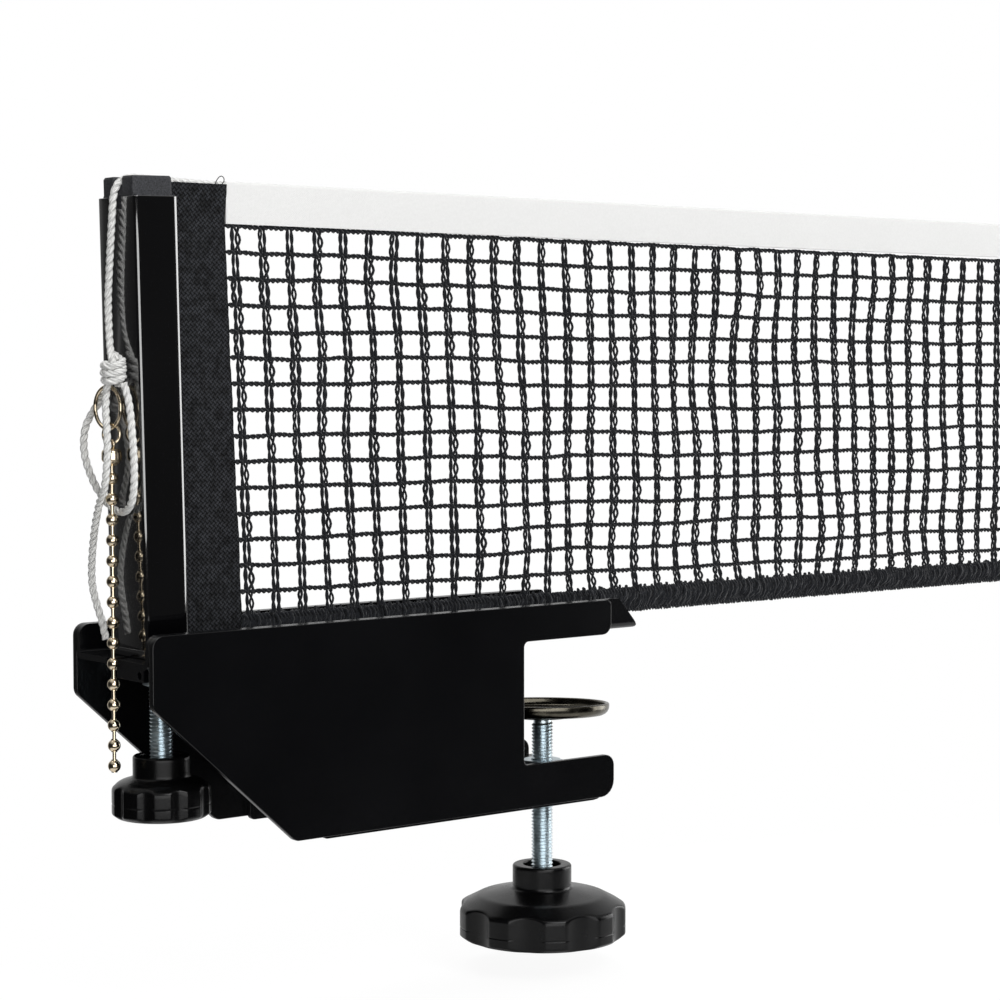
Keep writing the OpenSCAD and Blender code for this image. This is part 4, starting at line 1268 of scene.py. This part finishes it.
class CLAMP_OT_net(Maker):
    """Knot the net's rows, columns and hem"""
    bl_idname = "net_clamp.net"
    bl_label = "Net strings"

    def make(self, context):
        width = NET_END_X + 1 * MM - NET_LEFT_FOOT_X
        thread = sizes().thread_d
        columns = round(width / sizes().column_pitch)

        def hung(co):
            return hang_net(co.x / width, co.y, -co.z / NET_CELL)

        def row_hung(co):
            row = round(-co.z / NET_CELL)
            wave = 0.42 * MM * noise.noise((co.x * 130, row * 3.7, 0.0))
            return hang_net(co.x / width, co.y, row) + Vector((0, 0, co.z + row * NET_CELL + wave))

        def hem_hung(co):
            x = NET_LEFT_FOOT_X + co.x
            share = net_share(x)
            low, high = between(HEM_FOOT, share), between(HEM_TOP, share)
            return Vector((x, co.y, low + (high - low) * co.z / HEM_H))

        for maker, name, node, warp, values in (
                (row_tree, "net_rows", "net_mesh", row_hung,
                 {"Rows": NET_ROWS, "Cell": NET_CELL, "Thread": 1.08 * thread, "Lay": 4.2 * MM}),
                (column_tree, "net_columns", "net_mesh", hung,
                 {"Columns": columns, "Rows": NET_ROWS, "Cell": NET_CELL, "Thread": thread, "Seed": 3}),
                (hem_tree, "hem_strings", "net_hem", hem_hung,
                 {"Stitches": 640, "Height": HEM_H, "Thread": thread, "Lay": 3 * MM, "Seed": 5})):
            grown(maker, name, node, "net_string", {"Width": width, **values}, warp=warp)


class CLAMP_OT_chain(Maker):
    """Make the ring, link, clasp and bead chain"""
    bl_idname = "net_clamp.chain"
    bl_label = "Ring and chain"

    def make(self, context):
        slot = "chain_nickel"
        chain = at(OUTER_X + RING_AT[0] * MM, CHAIN_Y, 0)
        stand = Matrix.Rotation(math.pi / 2, 4, "Y")
        ring_turn = Matrix.Rotation(math.radians(RING_TURN), 4, "Z")
        link_turn = Matrix.Rotation(math.radians(RING_TURN + 90), 4, "Z")
        link_wire, eye_d = 1 * MM, 3.4 * MM
        ring = moved(wire_loop(15 * MM, 1.3 * MM, 14, 96), at(*from_edge([RING_AT])[0]) @ ring_turn @ stand)
        piece_of(ring, "cord_eye", "cord_ring", slot, 0)
        link = moved(wire_loop(7.6 * MM, link_wire, 14, 96), chain @ at(0, 0, LINK_Z) @ link_turn @ stand)
        piece_of(link, "chain_eye", "chain_link", slot, 0)
        top, foot, wall = CLASP_TOP_Z, CLASP_TOP_Z - 5.8 * MM, 0.5 * MM
        cup_r, inner_r, mouth_r, waist = 3.3 * MM, 2.8 * MM, 1.4 * MM, foot + 1.9 * MM
        shell = rounded(
            [(0, top), (cup_r, top), (cup_r, waist), (mouth_r, foot), (mouth_r, foot + wall),
             (inner_r, waist), (inner_r, top - wall), (0, top - wall)],
            [0, 1.65 * MM, 1 * MM, 0.1 * MM, 0.1 * MM, 0.6 * MM, 1.15 * MM, 0])
        eye = moved(wire_loop(eye_d, link_wire, 12, 48), at(0, 0, top + 1.2 * MM) @ ring_turn @ stand)
        piece_of(moved(together(turned(shell, 64), eye), chain), "chain_cup", "chain_clasp", slot, 40)
        pitch = sizes().bead_pitch
        upper = PIVOT_BEAD + 1
        lower = sizes().bead_count - upper
        for name, node, beads, wires, lead, top_z in (
                ("beads", "bead_chain", upper, PIVOT_BEAD, 0.0, CHAIN_TOP_Z),
                ("hanging_beads", "chain_tail", lower, lower, pitch, CHAIN_TOP_Z - upper * pitch)):
            values = {"Beads": beads, "Wires": wires, "Lead": lead, "Pitch": pitch,
                      "Diameter": sizes().bead_d, "Wire": 1.2 * MM}
            grown(bead_tree, name, node, slot, values, place=chain @ at(0, 0, top_z), sharp=40)


class CLAMP_OT_stage(Maker):
    """Set the floor, the lamps and the surroundings"""
    bl_idname = "net_clamp.stage"
    bl_label = "Stage"

    def lamp(self, name, place, size, power):
        light = bpy.data.lights.new(name, "AREA")
        light.shape = "RECTANGLE"
        light.size, light.size_y = size
        light.energy = power
        source = linked(name, light)
        source.location = place
        source.rotation_euler = (LAMP_TARGET - Vector(place)).to_track_quat("-Z", "Y").to_euler()

    def floor(self):
        mesh = bpy.data.meshes.new("floor")
        centre_x, reach_x, reach_y = 0.04, 0.36, 0.15
        rim = [(centre_x + reach_x * x, reach_y * y, FLOOR_Z) for x, y in circle(64)]
        mesh.from_pydata(rim, [], [list(range(len(rim)))])
        plane = linked("floor", mesh)
        look = Finish("Floor", Roughness=0.9, Base_Color=(0.9, 0.9, 0.9, 1), Specular_IOR_Level=0.0)
        glow = look.out("ShaderNodeEmission", {"Color": (1, 1, 1, 1), "Strength": 1.05})
        path = look.add("ShaderNodeLightPath").outputs
        seen = look.times(path["Is Camera Ray"], 0.88)
        mixed = look.out("ShaderNodeMixShader", {0: seen, 1: look.shader.outputs[0], 2: glow})
        look.tree.links.new(mixed, look.tree.nodes["Material Output"].inputs["Surface"])
        mesh.materials.append(look.material)

    def surroundings(self, context):
        """White behind the object, duller behind the camera, and plain white to the camera itself."""
        world = bpy.data.worlds.new("surroundings")
        world.use_nodes = True
        graph = Graph(world.node_tree)
        way = graph.add("ShaderNodeTexCoord").outputs["Generated"]
        ahead = graph.add("ShaderNodeVectorMath", {
            0: way, 1: (0.6225, 0.7826, 0.12)}, operation="DOT_PRODUCT").outputs["Value"]
        share = graph.times(graph.plus(ahead, 1.0), 0.5)
        stops = ((0.0, 0.02), (0.6, 0.02), (0.72, 0.07), (0.88, 0.7))
        level = graph.ramp(share, *((place, (grey, grey, grey)) for place, grey in stops))
        steep = graph.math("ABSOLUTE", graph.add("ShaderNodeSeparateXYZ", {0: way}).outputs[2])
        ends = graph.spread(steep, 0.4, 0.85, 0.0, 0.6)
        backdrop = world.node_tree.nodes["Background"]
        graph.tree.links.new(graph.math("MAXIMUM", level, ends), backdrop.inputs["Color"])
        plain = graph.out("ShaderNodeBackground", {"Color": (1, 1, 1, 1), "Strength": 1.0})
        path = graph.add("ShaderNodeLightPath").outputs
        mixed = graph.out("ShaderNodeMixShader", {0: path["Is Camera Ray"], 1: backdrop.outputs[0], 2: plain})
        graph.tree.links.new(mixed, world.node_tree.nodes["World Output"].inputs["Surface"])
        context.scene.world = world

    def make(self, context):
        context.scene.view_settings.view_transform = "Standard"
        self.floor()
        self.surroundings(context)
        for lamp in LAMPS:
            self.lamp(*lamp)


MAKERS = (
    CLAMP_OT_camera, CLAMP_OT_cords, CLAMP_OT_frame, CLAMP_OT_screws, CLAMP_OT_pad, CLAMP_OT_knobs,
    CLAMP_OT_post, CLAMP_OT_cloth, CLAMP_OT_net, CLAMP_OT_chain, CLAMP_OT_stage,
)


class CLAMP_PT_panel(bpy.types.Panel):
    """Lists the makers, sizes and colours."""
    bl_idname = "CLAMP_PT_panel"
    bl_label = "Net clamp"
    bl_space_type = "VIEW_3D"
    bl_region_type = "UI"
    bl_category = "Net clamp"

    def draw(self, context):
        for maker in MAKERS:
            self.layout.operator(maker.bl_idname)
        for group in (context.scene.clamp_sizes, context.scene.clamp_finish):
            for name in type(group).__annotations__:
                self.layout.prop(group, name)


CLASSES = (ClampFinish, ClampSizes, *MAKERS, CLAMP_PT_panel)


def register():
    for one in CLASSES:
        bpy.utils.register_class(one)
    bpy.types.Scene.clamp_finish = PointerProperty(type=ClampFinish)
    bpy.types.Scene.clamp_sizes = PointerProperty(type=ClampSizes)


def unregister():
    del bpy.types.Scene.clamp_sizes
    del bpy.types.Scene.clamp_finish
    for one in reversed(CLASSES):
        bpy.utils.unregister_class(one)


def corners(bounds):
    return [[round(float(value), 6) for value in corner] for corner in bounds]


def main():
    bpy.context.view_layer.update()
    register()
    for maker in MAKERS:
        group, name = maker.bl_idname.split(".")
        getattr(getattr(bpy.ops, group), name)()


if __name__ == "__main__":
    main()
